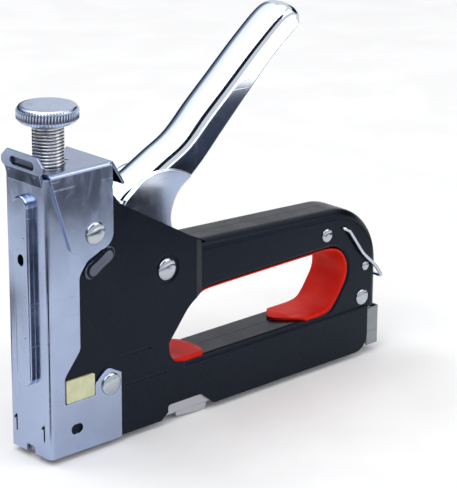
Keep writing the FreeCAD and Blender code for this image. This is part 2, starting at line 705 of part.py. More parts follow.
def make_nose_cap():
    """Channel over the top of the nose, with the hole of the screw and a rear flange."""
    body = new_body("nose_cap")
    inner, outer = S.nose_half + S.cap_gap, S.nose_half + S.cap_gap + S.nose_sheet
    under = S.cap_top - S.nose_sheet
    channel = ((-outer, S.cap_low), (-outer, S.cap_top, 1.6), (outer, S.cap_top, 1.6),
               (outer, S.cap_low), (inner, S.cap_low), (inner, under, 0.6),
               (-inner, under, 0.6), (-inner, S.cap_low))
    pad_outline(body, "YZ", channel, S.cap_rear - S.cap_front, lift=S.cap_front)
    front = ((S.cap_front - 1, S.cap_low - 1), (S.cap_front - 1, under - 1),
             (S.cap_front, under - 1), (10.6, 80.4, 3), (14.0, S.cap_low), (14.0, S.cap_low - 1))
    cut_outline(body, "XZ", front)
    round_edges(body, 6, lambda p: near(p.x, S.cap_rear) and near(p.z, S.cap_low))
    lean = Vector(float(S.stop_run), -float(S.stop_drop), 0).normalize()
    skin = S.nose_sheet * lean.x
    step = S.nose_sheet * lean.y
    toe_x, toe_z = S.cap_rear + S.stop_run, S.cap_top - S.stop_drop
    flange = ((S.cap_rear - 1, under), (S.cap_rear - 1, S.cap_top), (S.cap_rear, S.cap_top),
              (toe_x, toe_z), (toe_x + step, toe_z - skin), (S.cap_rear - 0.6, under))
    pad_outline(body, "XZ", flange, outer * 2, symmetric=True)
    hole(body, "XY", S.screw_x, 0, S.screw_radius + S.thread_gap)
    hole(body, "XY", 19.2, 0, 0.8)
    hole(body, "XZ", S.cap_rivet_x, S.cap_rivet_z, S.rivet_shank + S.rivet_gap)
    return body


# ---------------------------------------------------------------- screw, spring and striker
def make_cap_nut():
    """Hexagon nut welded under the cap."""
    body = new_body("cap_nut")
    sketch = new_sketch(body, "XY", S.nut_low)
    add_outline(sketch, [(S.nut_radius * math.cos(math.radians(60 * i)),
                          S.nut_radius * math.sin(math.radians(60 * i))) for i in range(6)])
    pad(body, sketch, S.cap_top - S.nose_sheet - S.nut_low)
    hole(body, "XY", 0, 0, S.screw_radius + S.thread_gap)
    place(body, S.screw_x)
    return body


def make_adjusting_screw():
    """Thumb screw: a shank at the thread's full size and a bevelled knob."""
    body = new_body("adjusting_screw")
    rim = S.knob_radius
    turn(body, ((0, S.screw_low), (S.screw_radius, S.screw_low), (S.screw_radius, S.knob_low),
                (rim - 1.2, S.knob_low), (rim, S.knob_low + 1.2), (rim, S.knob_high - 1.0),
                (rim - 1.0, S.knob_high), (0, S.knob_high)))
    place(body, S.screw_x)
    return body


def make_spring_seat():
    """Cup that the screw pushes on, with a pilot inside the spring."""
    body = new_body("spring_seat")
    pilot = S.spring_radius - S.spring_wire - 0.4
    turn(body, ((0, S.seat_low - 2), (pilot - 0.5, S.seat_low - 2), (pilot, S.seat_low - 1.5),
                (pilot, S.seat_low), (8, S.seat_low), (8, S.screw_low), (0, S.screw_low)))
    place(body, S.screw_x)
    return body


def coil(label, radius, wire, turns, length, steps=10, sides=5):
    """Coil spring along the part's own Z axis, drawn as short straight runs of wire."""
    radius, wire, turns, length = (float(number) for number in (radius, wire, turns, length))
    points = []
    for i in range(int(turns * steps) + 1):
        angle = math.tau * i / steps
        rise = wire + (length - wire * 2) * i / (turns * steps)
        points.append(Vector(radius * math.cos(angle), radius * math.sin(angle), rise))
    along = (points[1] - points[0]).normalize()
    ring = Part.makeCircle(wire, points[0], along).discretize(sides + 1)
    section = Part.makePolygon(ring)
    feature = DOC.addObject("Part::Feature", label)
    feature.Label = label
    feature.Shape = Part.makePolygon(points).makePipeShell([section], True, False, 1)
    return feature


def make_main_spring():
    """Compression spring between the striker and the seat."""
    body = coil("main_spring", S.spring_radius, S.spring_wire, S.spring_turns,
                S.seat_low - S.striker_high, steps=14, sides=6)
    place(body, S.screw_x, 0, S.striker_high)
    return body


def make_striker():
    """Striker block with the horn that the lever lifts and a pilot for the spring."""
    body = new_body("striker")
    front = S.blade_front + S.blade_sheet
    block = box_corners(front, S.striker_rear, S.striker_low, S.striker_high, 1)
    pad_outline(body, "XZ", block, S.striker_half * 2, symmetric=True)
    middle = S.pivot_z - (S.lever_reach - S.lever_tip) * sine(S.lever_rest)
    reach = S.window_half + S.horn_wall
    horn = box_corners(S.striker_rear - 4, S.horn_rear, middle - reach, middle + reach)
    pad_outline(body, "XZ", horn, S.horn_half * 2, symmetric=True)
    throat = S.pivot_x - S.lever_reach - 1.2
    window = box_corners(throat, S.horn_rear + 1, middle - S.window_half, middle + S.window_half)
    cut_outline(body, "XZ", window)
    pilot = new_sketch(body, "XY", S.striker_high)
    add_circle(pilot, S.screw_x, 0, S.spring_radius - S.spring_wire - 0.4)
    pad(body, pilot, 3)
    return body


def make_driver_blade():
    """Driver blade in front of the striker."""
    body = new_body("driver_blade")
    blade = box_corners(-S.blade_half, S.blade_half, 0.3, S.striker_high - 2, 0.4)
    pad_outline(body, "YZ", blade, S.blade_sheet, lift=S.blade_front)
    return body


def make_bumper_block():
    """Nylon block under the striker; its lugs show in the windows of the halves."""
    body = new_body("bumper_block")
    low, high = S.guide_top + S.block_gap, S.striker_low - 0.3
    core = S.body_half - S.shell_wall - S.block_gap
    base = box_corners(S.shell_front, S.block_rear, low, high)
    pad_outline(body, "XZ", base, core * 2, symmetric=True)
    lugs = box_corners(S.block_front, S.block_rear, low, high, 0.5)
    pad_outline(body, "XZ", lugs, S.block_half * 2, symmetric=True)
    return body


# ---------------------------------------------------------------- handle and lever
def handle_side():
    """Side of the handle's channel: web on top, open edge below, curled round at the tip."""
    return (
        (37.4, 92.0),
        (36.6, 95.0, 3),
        (50.0, 100.2, 60),
        (72.0, 111.6, 90),
        (94.0, 130.0, 90),
        (118.5, 153.2, 14),
        (126.5, 155.9, 9),
        (134.0, 152.8, 3.6),
        (131.9, 146.6),
        (117.0, 136.2, 60),
        (94.6, 114.6, 200),
        (74.6, 95.6, 6),
        (60.0, 86.0),
    )


def cheek_side():
    """Side of the flat cheek that goes down to the pivot."""
    lobe = 9.0
    return (
        (S.pivot_x - lobe, S.pivot_z - lobe, lobe - 0.1),
        (S.pivot_x - lobe, 70.0, 20),
        (37.4, 90.0, 3),
        (39.5, 95.2, 2),
        (50.8, 98.8, 3),
        (57.0, 102.4, 8),
        (74.6, 96.6, 1.5),
        (64.6, 89.6, 12),
        (62.4, 76.0, 10),
        (S.pivot_x + lobe, 70.0, 6),
        (S.pivot_x + lobe, S.pivot_z - lobe, lobe - 0.1),
    )


def make_handle():
    """Channel pressed from sheet: rolled web, open below, with two flat cheeks at the pivot."""
    upper = S.handle_half - S.cheek_step
    core = new_body("handle_core")
    margins = [-3.0] + [S.handle_sheet] * 7 + [-8.0] * 3 + [-3.0] * 2
    pad_outline(core, "XZ", inset(handle_side(), margins), (upper - S.handle_sheet) * 2, symmetric=True)
    inner = S.handle_half - S.handle_sheet
    pad_outline(core, "XZ", ((30, 45), (30, 88), (36, 93.0), (58, 99.0), (74, 94.0), (80, 45)),
                inner * 2, symmetric=True)
    body = new_body("handle")
    pad_outline(body, "XZ", handle_side(), upper * 2, symmetric=True)
    round_edges(body, S.handle_bend, lambda p: on_web(p) and near(abs(p.y), upper))
    pad_outline(body, "XZ", cheek_side(), S.handle_half * 2, symmetric=True)
    hollow = body.newObject("PartDesign::Boolean", "Hollow")
    hollow.setObjects([core])
    hollow.Type = "Cut"
    hole(body, "XZ", S.pivot_x, S.pivot_z, S.pivot_radius + S.pivot_fit)
    hole(body, "XZ", S.lever_rivet_x, S.lever_rivet_z, S.lever_rivet_radius + S.rivet_gap)
    return body


def on_web(p):
    """On the web's side of a line just under it."""
    return p.z > 95.0 and p.z - 95.0 > (p.x - 40.0) * 0.62


def make_lift_lever():
    """Lever in the handle: its tip lifts the striker's horn, its hub fills the cheeks."""
    body = new_body("lift_lever")
    tip_x = S.pivot_x - (S.lever_reach - S.lever_tip) * cosine(S.lever_rest)
    tip_z = S.pivot_z - (S.lever_reach - S.lever_tip) * sine(S.lever_rest)
    sketch = new_sketch(body, "XZ")
    add_circle(sketch, tip_x, tip_z, S.lever_tip)
    pad(body, sketch, S.lever_half * 2, symmetric=True)
    along = Vector(math.cos(math.radians(float(S.lever_rest))),
                   math.sin(math.radians(float(S.lever_rest))), 0)
    across = Vector(-along.y, along.x, 0)
    pivot = Vector(float(S.pivot_x), float(S.pivot_z), 0)
    tip = Vector(float(tip_x), float(tip_z), 0)
    arm = [tip + across * 1.8, tip - across * 1.8,
           pivot - across * 6.5, pivot + across * 6.5]
    pad_outline(body, "XZ", [(p.x, p.y) for p in arm], S.lever_half * 2, symmetric=True)
    upper = ((S.pivot_x - 7, S.pivot_z), (S.lever_rivet_x - 5, S.lever_rivet_z + 1, 4),
             (S.lever_rivet_x + 3.5, S.lever_rivet_z + 5, 4), (S.pivot_x + 5, S.pivot_z))
    pad_outline(body, "XZ", upper, S.lever_half * 2, symmetric=True)
    hub = new_sketch(body, "XZ")
    add_circle(hub, S.pivot_x, S.pivot_z, 7.0)
    pad(body, hub, (S.handle_half - S.handle_sheet - 0.1) * 2, symmetric=True)
    boss = new_sketch(body, "XZ")
    add_circle(boss, S.lever_rivet_x, S.lever_rivet_z, 4.0)
    pad(body, boss, (S.handle_half - S.handle_sheet - 0.1) * 2, symmetric=True)
    hole(body, "XZ", S.pivot_x, S.pivot_z, S.pivot_radius + S.pivot_fit)
    hole(body, "XZ", S.lever_rivet_x, S.lever_rivet_z, S.lever_rivet_radius + S.rivet_gap)
    return body


# ---------------------------------------------------------------- rivets, pins and spacers
def make_rivet(label, x, z, shank, head, rise, span):
    """A rivet across the tool with a domed head on each side of its grip."""
    body = new_body(label)
    half = ((shank, 0), (shank, span), (head, span), (head * 0.6, span + rise), (0, span + rise))
    low = [(r, -y) for r, y in reversed(half[1:])]
    turn(body, [c for c in low] + [c for c in half[1:]], plane="XY")
    place(body, x, 0, z)
    return body


def make_spacers():
    """Two tubes that keep the halves apart around the rear rivets."""
    body = new_body("body_spacers")
    length = (S.grip_half - S.shell_wall) * 2
    for x, z in ((S.rear_rivet_x, S.rear_rivet_z), (S.heel_rivet_x, S.heel_rivet_z)):
        sketch = new_sketch(body, "XZ")
        add_circle(sketch, x, z, S.pin_shank + S.rivet_gap + 1.2)
        add_circle(sketch, x, z, S.pin_shank + S.rivet_gap)
        pad(body, sketch, length, symmetric=True)
    return body


# ---------------------------------------------------------------- magazine
def make_staple_guide():
    """Fixed guide: a top plate with two walls that the staples' legs run inside."""
    body = new_body("staple_guide")
    plate = S.grip_half - S.shell_wall - S.slide_gap
    low, under = 1.8, S.guide_top - S.guide_sheet
    inner = S.guide_half - S.guide_sheet
    section = ((-plate, under), (-plate, S.guide_top), (plate, S.guide_top), (plate, under),
               (S.guide_half, under), (S.guide_half, low), (inner, low), (inner, under),
               (-inner, under), (-inner, low), (-S.guide_half, low), (-S.guide_half, under))
    pad_outline(body, "YZ", section, S.guide_rear - S.guide_front, lift=S.guide_front)
    for side in (-1, 1):
        slot = ((S.tooth_front - 1, (S.guide_half + 0.4) * side),
                (S.tooth_front - 1, (plate + 1) * side),
                (S.guide_rear + 1, (plate + 1) * side),
                (S.guide_rear + 1, (S.guide_half + 0.4) * side))
        cut_outline(body, "XY", slot)
    return body


def make_magazine_rail():
    """Sliding channel under the staples, with the finger tab pressed down from its floor."""
    body = new_body("magazine_rail")
    floor, inner, wall_top = S.rail_low + S.rail_sheet, S.rail_half - S.rail_sheet, S.rail_wall
    section = ((-S.rail_half, S.rail_low, 1.3), (S.rail_half, S.rail_low, 1.3),
               (S.rail_half, wall_top), (inner, wall_top), (inner, floor, 0.4),
               (-inner, floor, 0.4), (-inner, wall_top), (-S.rail_half, wall_top))
    pad_outline(body, "YZ", section, S.rail_rear - S.rail_front, lift=S.rail_front)
    tab = ((S.tab_front, S.rail_low + 0.4), (S.tab_front + 0.3, -S.tab_drop * 0.5, 0.8),
           (S.tab_rear, -S.tab_drop, 0.8), (S.tab_rear + 1, S.rail_low + 0.4))
    pad_outline(body, "XZ", tab, S.tab_half * 2, symmetric=True)
    scoop = inset(tab, [S.rail_sheet, S.rail_sheet, S.rail_sheet, -2.0])
    cut_outline(body, "XZ", scoop, depth=(S.tab_half - S.rail_sheet) * 2)
    return body


def make_staple_core():
    """Inverted channel that carries the staples, slotted for the pusher, with a front web."""
    body = new_body("staple_core")
    inner, under = S.core_half - S.core_sheet, S.core_top - S.core_sheet
    low = S.rail_low + S.rail_sheet
    section = ((-S.core_half, low), (-S.core_half, S.core_top, 1), (S.core_half, S.core_top, 1),
               (S.core_half, low), (inner, low), (inner, under), (-inner, under), (-inner, low))
    pad_outline(body, "YZ", section, S.end_front - S.core_front, lift=S.core_front)
    web = box_corners(-inner - 0.1, inner + 0.1, low, under + 0.1)
    pad_outline(body, "YZ", web, S.core_sheet, lift=S.core_front)
    hole(body, "YZ", 0, S.rod_z, S.rod_radius + S.slide_gap, S.core_front + 2, 3)
    slot_end = S.pusher_front + S.pusher_length + S.pusher_travel + 2
    slot = box_corners(S.core_front + S.core_sheet, slot_end, -S.core_slot, S.core_slot)
    cut_outline(body, "XY", slot, under - 1, 4, False, True)
    return body


def make_pusher():
    """Saddle on the core with a tongue through its slot and an eye round the rod."""
    body = new_body("pusher")
    gap = S.slide_gap
    inner, under, low = S.core_half + gap, S.core_top + gap, 3.0
    high = S.guide_top - S.guide_sheet - 0.4
    section = ((-S.pusher_half, low), (-S.pusher_half, high, 1), (S.pusher_half, high, 1),
               (S.pusher_half, low), (inner, low), (inner, under), (-inner, under), (-inner, low))
    pad_outline(body, "YZ", section, S.pusher_length, lift=S.pusher_front)
    tongue = S.core_slot - gap
    pad_outline(body, "YZ", box_corners(-tongue, tongue, S.rod_z, under + 0.5),
                S.pusher_length, lift=S.pusher_front)
    eye = new_sketch(body, "YZ", S.pusher_front)
    add_circle(eye, 0, S.rod_z, S.rod_radius + 1.4)
    pad(body, eye, S.pusher_length)
    hole(body, "YZ", 0, S.rod_z, S.rod_radius + gap)
    return body


def make_pusher_rod():
    body = new_body("pusher_rod")
    rod = new_sketch(body, "YZ", S.core_front)
    add_circle(rod, 0, S.rod_z, S.rod_radius)
    pad(body, rod, S.end_front + 2 - S.core_front)
    return body


def make_pusher_spring():
    """Long light spring on the rod, behind the pusher."""
    start = S.pusher_front + S.pusher_length
    body = coil("pusher_spring", S.coil_radius, S.coil_wire, S.coil_turns, S.end_front - start,
                steps=8, sides=4)
    body.Placement = Placement(Vector(float(start), 0, float(S.rod_z)), Rotation(Vector(0, 1, 0), 90))
    body.setExpression("Placement.Base.x", start.formula)
    body.setExpression("Placement.Base.z", S.rod_z.formula)
    return body


def make_magazine_end():
    """Block that closes the magazine, holds the rod and carries the latch."""
    body = new_body("magazine_end")
    side = box_corners(S.end_front, S.end_rear, S.rail_low + S.rail_sheet, S.core_top, 0.6)
    pad_outline(body, "XZ", side, S.end_half * 2, symmetric=True)
    hole(body, "YZ", 0, S.rod_z, S.rod_radius + S.slide_gap, S.end_front + 2.2, 3)
    hole(body, "XZ", S.latch_pin_x, S.latch_pin_z, S.latch_pin_radius + S.pivot_fit)
    nest = box_corners(S.end_rear - 1.2, S.end_rear + 1, 13.2, 16.8)
    cut_outline(body, "XZ", nest, depth=8.0)
    return body


# ---------------------------------------------------------------- rear latch
def make_rear_latch():
    """Clip round the end of the magazine with two arms that reach forward to their teeth."""
    body = new_body("rear_latch")
    inner, low = S.latch_half - S.latch_sheet, 1.0
    skirt = S.latch_bay_x + 1.2
    channel = ((skirt, -S.latch_half), (S.latch_rear, -S.latch_half, 2), (S.latch_rear, S.latch_half, 2),
               (skirt, S.latch_half), (skirt, inner), (S.latch_rear - S.latch_sheet, inner, 1.2),
               (S.latch_rear - S.latch_sheet, -inner, 1.2), (skirt, -inner))
    pad_outline(body, "XY", channel, S.latch_top - low, lift=low)
    for side in (-1, 1):
        arm = box_corners(S.tooth_front, skirt + 0.5, S.latch_pin_z - 2.2, S.latch_pin_z + 2.2, 2)
        pad_outline(body, "XZ", arm, S.latch_sheet, lift=-inner * side if side > 0 else inner,
                    backwards=side > 0)
        step = box_corners(S.tooth_front, S.tooth_rear, S.latch_pin_z + 1, S.latch_pin_z + 2.2)
        reach = S.latch_half - S.guide_half - 0.6
        tooth_side = (S.guide_half + 0.6) * side
        pad_outline(body, "XZ", step, reach, lift=-tooth_side, backwards=side > 0)
        tooth = ((S.tooth_front, S.latch_pin_z + 2), (S.tooth_rear, S.latch_pin_z + 2),
                 (S.tooth_rear, S.guide_top - 0.3), (S.tooth_front + 1.2, S.guide_top - 0.3))
        width = S.end_half - S.guide_half - 0.6
        pad_outline(body, "XZ", tooth, width, lift=-tooth_side, backwards=side > 0)
    hole(body, "XZ", S.latch_pin_x, S.latch_pin_z, S.latch_pin_radius + S.pivot_fit)
    return body


def make_latch_pin():
    body = new_body("latch_pin")
    pin = new_sketch(body, "XZ")
    add_circle(pin, S.latch_pin_x, S.latch_pin_z, S.latch_pin_radius)
    pad(body, pin, S.latch_half * 2, symmetric=True)
    return body


def make_latch_spring():
    """Small coil between the end block and the latch's rear wall."""
    length = S.latch_rear - S.latch_sheet - S.end_rear + 1.2
    body = coil("latch_spring", 1.35, 0.25, 3, length, steps=8, sides=4)
    start = S.end_rear - 1.2
    body.Placement = Placement(Vector(float(start), 0, 15.0), Rotation(Vector(0, 1, 0), 90))
    body.setExpression("Placement.Base.x", start.formula)
    return body


# ---------------------------------------------------------------- liner and bail
def make_grip_liner():
    """Moulded liner of the hand opening, with a thin lip under the fingers at each end."""
    body = new_body("grip_liner")
    opening = hand_opening()
    outer = inset(opening, [S.liner_gap] * 6)
    pad_outline(body, "XZ", outer, S.liner_half * 2, symmetric=True)
    face = S.liner_face
    inner = inset(opening, (0.9, face, face, S.liner_roof, S.liner_roof, face))
    radii = (6.0, 8.5, 7.0, 9.5, 21.0, 6.0)
    cut_outline(body, "XZ", [c[:2] + (r,) for c, r in zip(inner, radii)])
    lip = S.hand_heel_x - 25.0
    mouth = ((78, -12), (81.5, -4, 4), (81.5, 4, 4), (78, 12), (lip + 8, 12), (lip, 5, 8),
             (lip, -5, 8), (lip + 5, -12))
    cut_outline(body, "XY", mouth, S.rail_top - 1, 4, False, True)
    return body


def rounded_path(points, radius):
    """Straight runs joined by arcs of one radius."""
    edges, start = [], points[0]
    for before, corner, after in zip(points, points[1:], points[2:]):
        back = (before - corner).normalize()
        onward = (after - corner).normalize()
        half = back.getAngle(onward) / 2
        reach = radius / math.tan(half)
        middle = corner + (back + onward).normalize() * (radius / math.sin(half) - radius)
        edges.append(Part.LineSegment(start, corner + back * reach).toShape())
        start = corner + onward * reach
        edges.append(Part.Arc(corner + back * reach, middle, start).toShape())
    edges.append(Part.LineSegment(start, points[-1]).toShape())
    return Part.Wire(edges)


def make_wire_bail():
    """Bent wire: its ends turn in the grip, its crossbar hangs behind."""
    side = ((0, 0), (2.6, -1.3), (11.0, -12.9), (18.5, -19.7), (22.9, -25.6))
    half, inside = float(S.bail_half), float(S.grip_half) - 0.9
    near_side = [Vector(x, -half, z) for x, z in side]
    far_side = [Vector(x, half, z) for x, z in reversed(side)]
    path = [Vector(0, -inside, 0)] + near_side + far_side + [Vector(0, inside, 0)]
    spine = rounded_path(path, 1.1)
    ring = Part.makeCircle(float(S.bail_wire), path[0], Vector(0, 1, 0)).discretize(9)
    feature = DOC.addObject("Part::Feature", "wire_bail")
    feature.Label = "wire_bail"
    feature.Shape = spine.makePipeShell([Part.makePolygon(ring)], True, False, 2)
    place(feature, S.bail_x, 0, S.bail_z)
    return feature


# ---------------------------------------------------------------- build, check and write
def build():
    left = make_left_shell()
    outside = S.nose_half + S.cap_gap + S.nose_sheet
    return [
        left,
        make_right_shell(left),
        make_nose_cover(),
        make_nose_cap(),
        make_cap_nut(),
        make_adjusting_screw(),
        make_spring_seat(),
        make_main_spring(),
        make_striker(),
        make_driver_blade(),
        make_bumper_block(),
        make_handle(),
        make_lift_lever(),
        make_rivet("handle_pivot", S.pivot_x, S.pivot_z, S.pivot_radius, S.rivet_head,
                   S.rivet_rise, S.body_half - 0.5),
        make_rivet("lever_rivet", S.lever_rivet_x, S.lever_rivet_z, S.lever_rivet_radius, 3.4,
                   0.7, S.handle_half),
        make_rivet("cap_rivet", S.cap_rivet_x, S.cap_rivet_z, S.rivet_shank, S.rivet_head,
                   S.rivet_rise, outside),
        make_rivet("foot_rivet", S.foot_rivet_x, S.foot_rivet_z, S.rivet_shank, S.rivet_head,
                   S.rivet_rise, S.nose_half),
        make_rivet("grip_rivet", S.rear_rivet_x, S.rear_rivet_z, S.pin_shank, S.small_head,
                   S.small_rise, S.grip_half),
        make_rivet("heel_rivet", S.heel_rivet_x, S.heel_rivet_z, S.pin_shank, S.heel_head,
                   S.small_rise, S.grip_half),
        make_rivet("grip_pin", S.pin_x, S.pin_z, S.pin_shank, S.pin_head, S.small_rise * 0.7,
                   S.grip_half),
        make_spacers(),
        make_grip_liner(),
        make_staple_guide(),
        make_magazine_rail(),
        make_staple_core(),
        make_pusher(),
        make_pusher_rod(),
        make_pusher_spring(),
        make_magazine_end(),
        make_rear_latch(),
        make_latch_pin(),
        make_latch_spring(),
        make_wire_bail(),
    ]


def check(parts):
    """Refuse a failed feature and a shape that is empty or not valid."""
    DOC.recompute()
    for item in DOC.Objects:
        if "Invalid" in item.State or "Error" in item.State:
            raise RuntimeError("%s failed: %s" % (item.Label, item.State))
    for item in parts:
        if item.Shape.isNull() or not item.Shape.isValid() or not item.Shape.Solids:
            raise RuntimeError("%s has no valid solid" % item.Label)


PARTS = build()
check(PARTS)
os.makedirs("parts", exist_ok=True)
for piece in PARTS:
    piece.Shape.exportStep("parts/%s.step" % piece.Label)
print("%d sub-parts written" % len(PARTS))
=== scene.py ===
"""Looks of the staple gun: finishes, handle, screw, rivets, bail, springs, liner, bulges and studio."""
import json
import math

import bmesh
import bpy
from mathutils import Matrix, Vector


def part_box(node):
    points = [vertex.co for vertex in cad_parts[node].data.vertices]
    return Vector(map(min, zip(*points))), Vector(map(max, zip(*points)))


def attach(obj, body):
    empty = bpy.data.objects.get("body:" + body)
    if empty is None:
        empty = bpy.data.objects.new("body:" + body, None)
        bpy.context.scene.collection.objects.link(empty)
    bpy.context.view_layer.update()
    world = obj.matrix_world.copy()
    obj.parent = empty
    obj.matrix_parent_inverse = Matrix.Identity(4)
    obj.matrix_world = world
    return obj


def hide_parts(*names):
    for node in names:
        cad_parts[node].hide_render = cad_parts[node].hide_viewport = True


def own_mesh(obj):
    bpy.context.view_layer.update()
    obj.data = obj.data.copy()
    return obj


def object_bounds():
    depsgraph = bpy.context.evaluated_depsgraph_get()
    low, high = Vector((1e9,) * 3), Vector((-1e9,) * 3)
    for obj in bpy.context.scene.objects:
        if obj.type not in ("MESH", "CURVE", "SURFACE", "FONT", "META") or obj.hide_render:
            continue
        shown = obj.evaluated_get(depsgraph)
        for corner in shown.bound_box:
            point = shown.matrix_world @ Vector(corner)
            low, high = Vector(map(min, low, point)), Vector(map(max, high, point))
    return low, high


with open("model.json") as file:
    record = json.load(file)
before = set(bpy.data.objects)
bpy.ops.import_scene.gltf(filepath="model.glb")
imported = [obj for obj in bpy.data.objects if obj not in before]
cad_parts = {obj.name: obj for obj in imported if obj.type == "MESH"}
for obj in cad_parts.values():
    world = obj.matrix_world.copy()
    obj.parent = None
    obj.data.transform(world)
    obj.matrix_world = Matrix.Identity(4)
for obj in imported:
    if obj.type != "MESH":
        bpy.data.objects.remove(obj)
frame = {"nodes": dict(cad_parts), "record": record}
CAD_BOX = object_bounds()
NODES = frame["nodes"]
MM = 0.001

# Camera: where it stands and what it looks at, in metres; its lens in millimetres.
CAMERA_PLACE = Vector((-0.48693, -0.62343, 0.34620))
CAMERA_TARGET = Vector((0.10173, 0.0, 0.05976))
CAMERA_ROLL = math.radians(0.345)
CAMERA_LENS = 167.6

# Radii on the adjusting screw: the knob's rim, and the thread's crest and root.
KNOB_RIM = 11.6 * MM
THREAD_CREST = 6.0 * MM
THREAD_ROOT = 5.42 * MM


# ---------------------------------------------------------------- node helpers
class Tree:
    """A material's nodes, with one short call for each kind that is used."""

    def __init__(self, name):
        self.material = bpy.data.materials.new(name)
        self.material.use_nodes = True
        self.nodes = self.material.node_tree.nodes
        self.links = self.material.node_tree.links
        self.shader = self.nodes["Principled BSDF"]
        self.place = self.nodes.new("ShaderNodeTexCoord").outputs["Object"]

    def node(self, kind, **inputs):
        made = self.nodes.new("ShaderNode" + kind)
        for name, value in inputs.items():
            self.feed(made.inputs[name.replace("_", " ")], value)
        return made

    def feed(self, socket, value):
        if isinstance(value, bpy.types.NodeSocket):
            self.links.new(value, socket)
        else:
            socket.default_value = value

    def stretched(self, scale):
        """Place multiplied by a scale for each axis."""
        mapping = self.node("Mapping", Vector=self.place)
        mapping.inputs["Scale"].default_value = scale
        return mapping.outputs["Vector"]

    def noise(self, size, detail=3.0, rough=0.55, stretch=None, twist=0.0):
        """Noise whose blotches are about this many metres across."""
        place = self.stretched(stretch) if stretch else self.place
        made = self.node("TexNoise", Vector=place, Scale=1.0 / size, Detail=detail,
                         Roughness=rough, Distortion=twist)
        return made.outputs["Fac"]

    def ramp(self, value, low, high, out_low=0.0, out_high=1.0):
        made = self.node("MapRange", Value=value)
        made.interpolation_type = "SMOOTHSTEP"
        made.inputs["From Min"].default_value = low
        made.inputs["From Max"].default_value = high
        made.inputs["To Min"].default_value = out_low
        made.inputs["To Max"].default_value = out_high
        return made.outputs["Result"]

    def linear(self, value, low, high):
        """0 at low and 1 at high, evenly in between."""
        made = self.node("MapRange", Value=value)
        made.inputs["From Min"].default_value = low
        made.inputs["From Max"].default_value = high
        return made.outputs["Result"]

    def operate(self, kind, operation, values):
        made = self.nodes.new("ShaderNode" + kind)
        made.operation = operation
        for socket, value in zip(made.inputs, values):
            self.feed(socket, value)
        return made

    def math(self, operation, *values):
        return self.operate("Math", operation, values).outputs["Value"]

    def vector(self, operation, *values):
        """A vector, or the number that a length or a dot product gives."""
        kind = "Value" if operation in ("LENGTH", "DOT_PRODUCT") else "Vector"
        return self.operate("VectorMath", operation, values).outputs[kind]

    def between(self, value, start, end):
        """1 from start to end, 0 outside."""
        return self.math("COMPARE", value, (start + end) / 2, (end - start) / 2)

    def height(self):
        return self.node("SeparateXYZ", Vector=self.place).outputs["Z"]

    def mix(self, share, first, second):
        made = self.nodes.new("ShaderNodeMix")
        made.data_type = "RGBA"
        self.feed(made.inputs["Factor"], share)
        for name, value in (("A", first), ("B", second)):
            socket = [s for s in made.inputs if s.name == name and s.type == "RGBA"][0]
            self.feed(socket, value if isinstance(value, bpy.types.NodeSocket) else (*value, 1.0))
        return [s for s in made.outputs if s.type == "RGBA"][0]

    def soft_edges(self, radius):
        made = self.node("Bevel", Radius=radius)
        made.samples = 6
        return made.outputs["Normal"]

    def edge_mask(self, radius):
        """Near 1 on edges, 0 on open faces."""
        normal = self.node("NewGeometry").outputs["Normal"]
        facing = self.vector("DOT_PRODUCT", normal, self.soft_edges(radius))
        return self.ramp(self.math("SUBTRACT", 1.0, facing), 0.02, 0.25)

    def bump(self, height, distance, strength, normal):
        made = self.node("Bump", Height=height, Distance=distance, Strength=strength, Normal=normal)
        return made.outputs["Normal"]

    def set(self, **inputs):
        for name, value in inputs.items():
            self.feed(self.shader.inputs[name.replace("_", " ")], value)
        return self.material


# ---------------------------------------------------------------- materials
def plated(name, colour, dark, rough, scratches=0.25, ripple=0.02, edge=0.35 * MM, smear=0.12,
           painted_light=None):
    """Bright plating: clouds of tone, handling smears, fine scratches and a faint ripple in millimetres.

    The last argument, where given, paints shade and highlights over the colour.
    """
    tree = Tree(name)
    clouds = tree.noise(0.022, 4.0, 0.6)
    smears = tree.noise(0.009, 5.0, 0.65, stretch=(1.0, 1.0, 0.35), twist=0.6)
    hairs = tree.noise(0.0016, 2.0, 0.5, stretch=(0.06, 0.5, 1.0))
    crossed = tree.noise(0.0018, 2.0, 0.5, stretch=(1.0, 0.5, 0.05), twist=0.3)
    lines = tree.math("MAXIMUM", tree.ramp(hairs, 0.64, 0.72), tree.ramp(crossed, 0.66, 0.74))
    tone = tree.math("ADD", tree.ramp(clouds, 0.35, 0.7, 0.0, 0.35),
                     tree.math("MULTIPLY", lines, scratches * 0.5))
    # Painted highlight: the colour is brighter on the edges.
    bright = tuple(min(1.0, c * 1.18) for c in colour)
    base = tree.mix(tree.edge_mask(edge), tree.mix(tone, colour, dark), bright)
    if painted_light:
        base = painted_light(tree, base)
    gloss = tree.math("ADD", tree.ramp(smears, 0.4, 0.75, rough, rough + smear),
                      tree.math("MULTIPLY", lines, scratches * 0.35))
    waves = tree.noise(0.006, 2.0, 0.4)
    normal = tree.bump(waves, ripple * MM, 1.0, tree.soft_edges(edge))
    normal = tree.bump(lines, 0.004 * MM, 0.5, normal)
    return tree.set(Base_Color=base, Metallic=1.0, Roughness=gloss, Normal=normal)


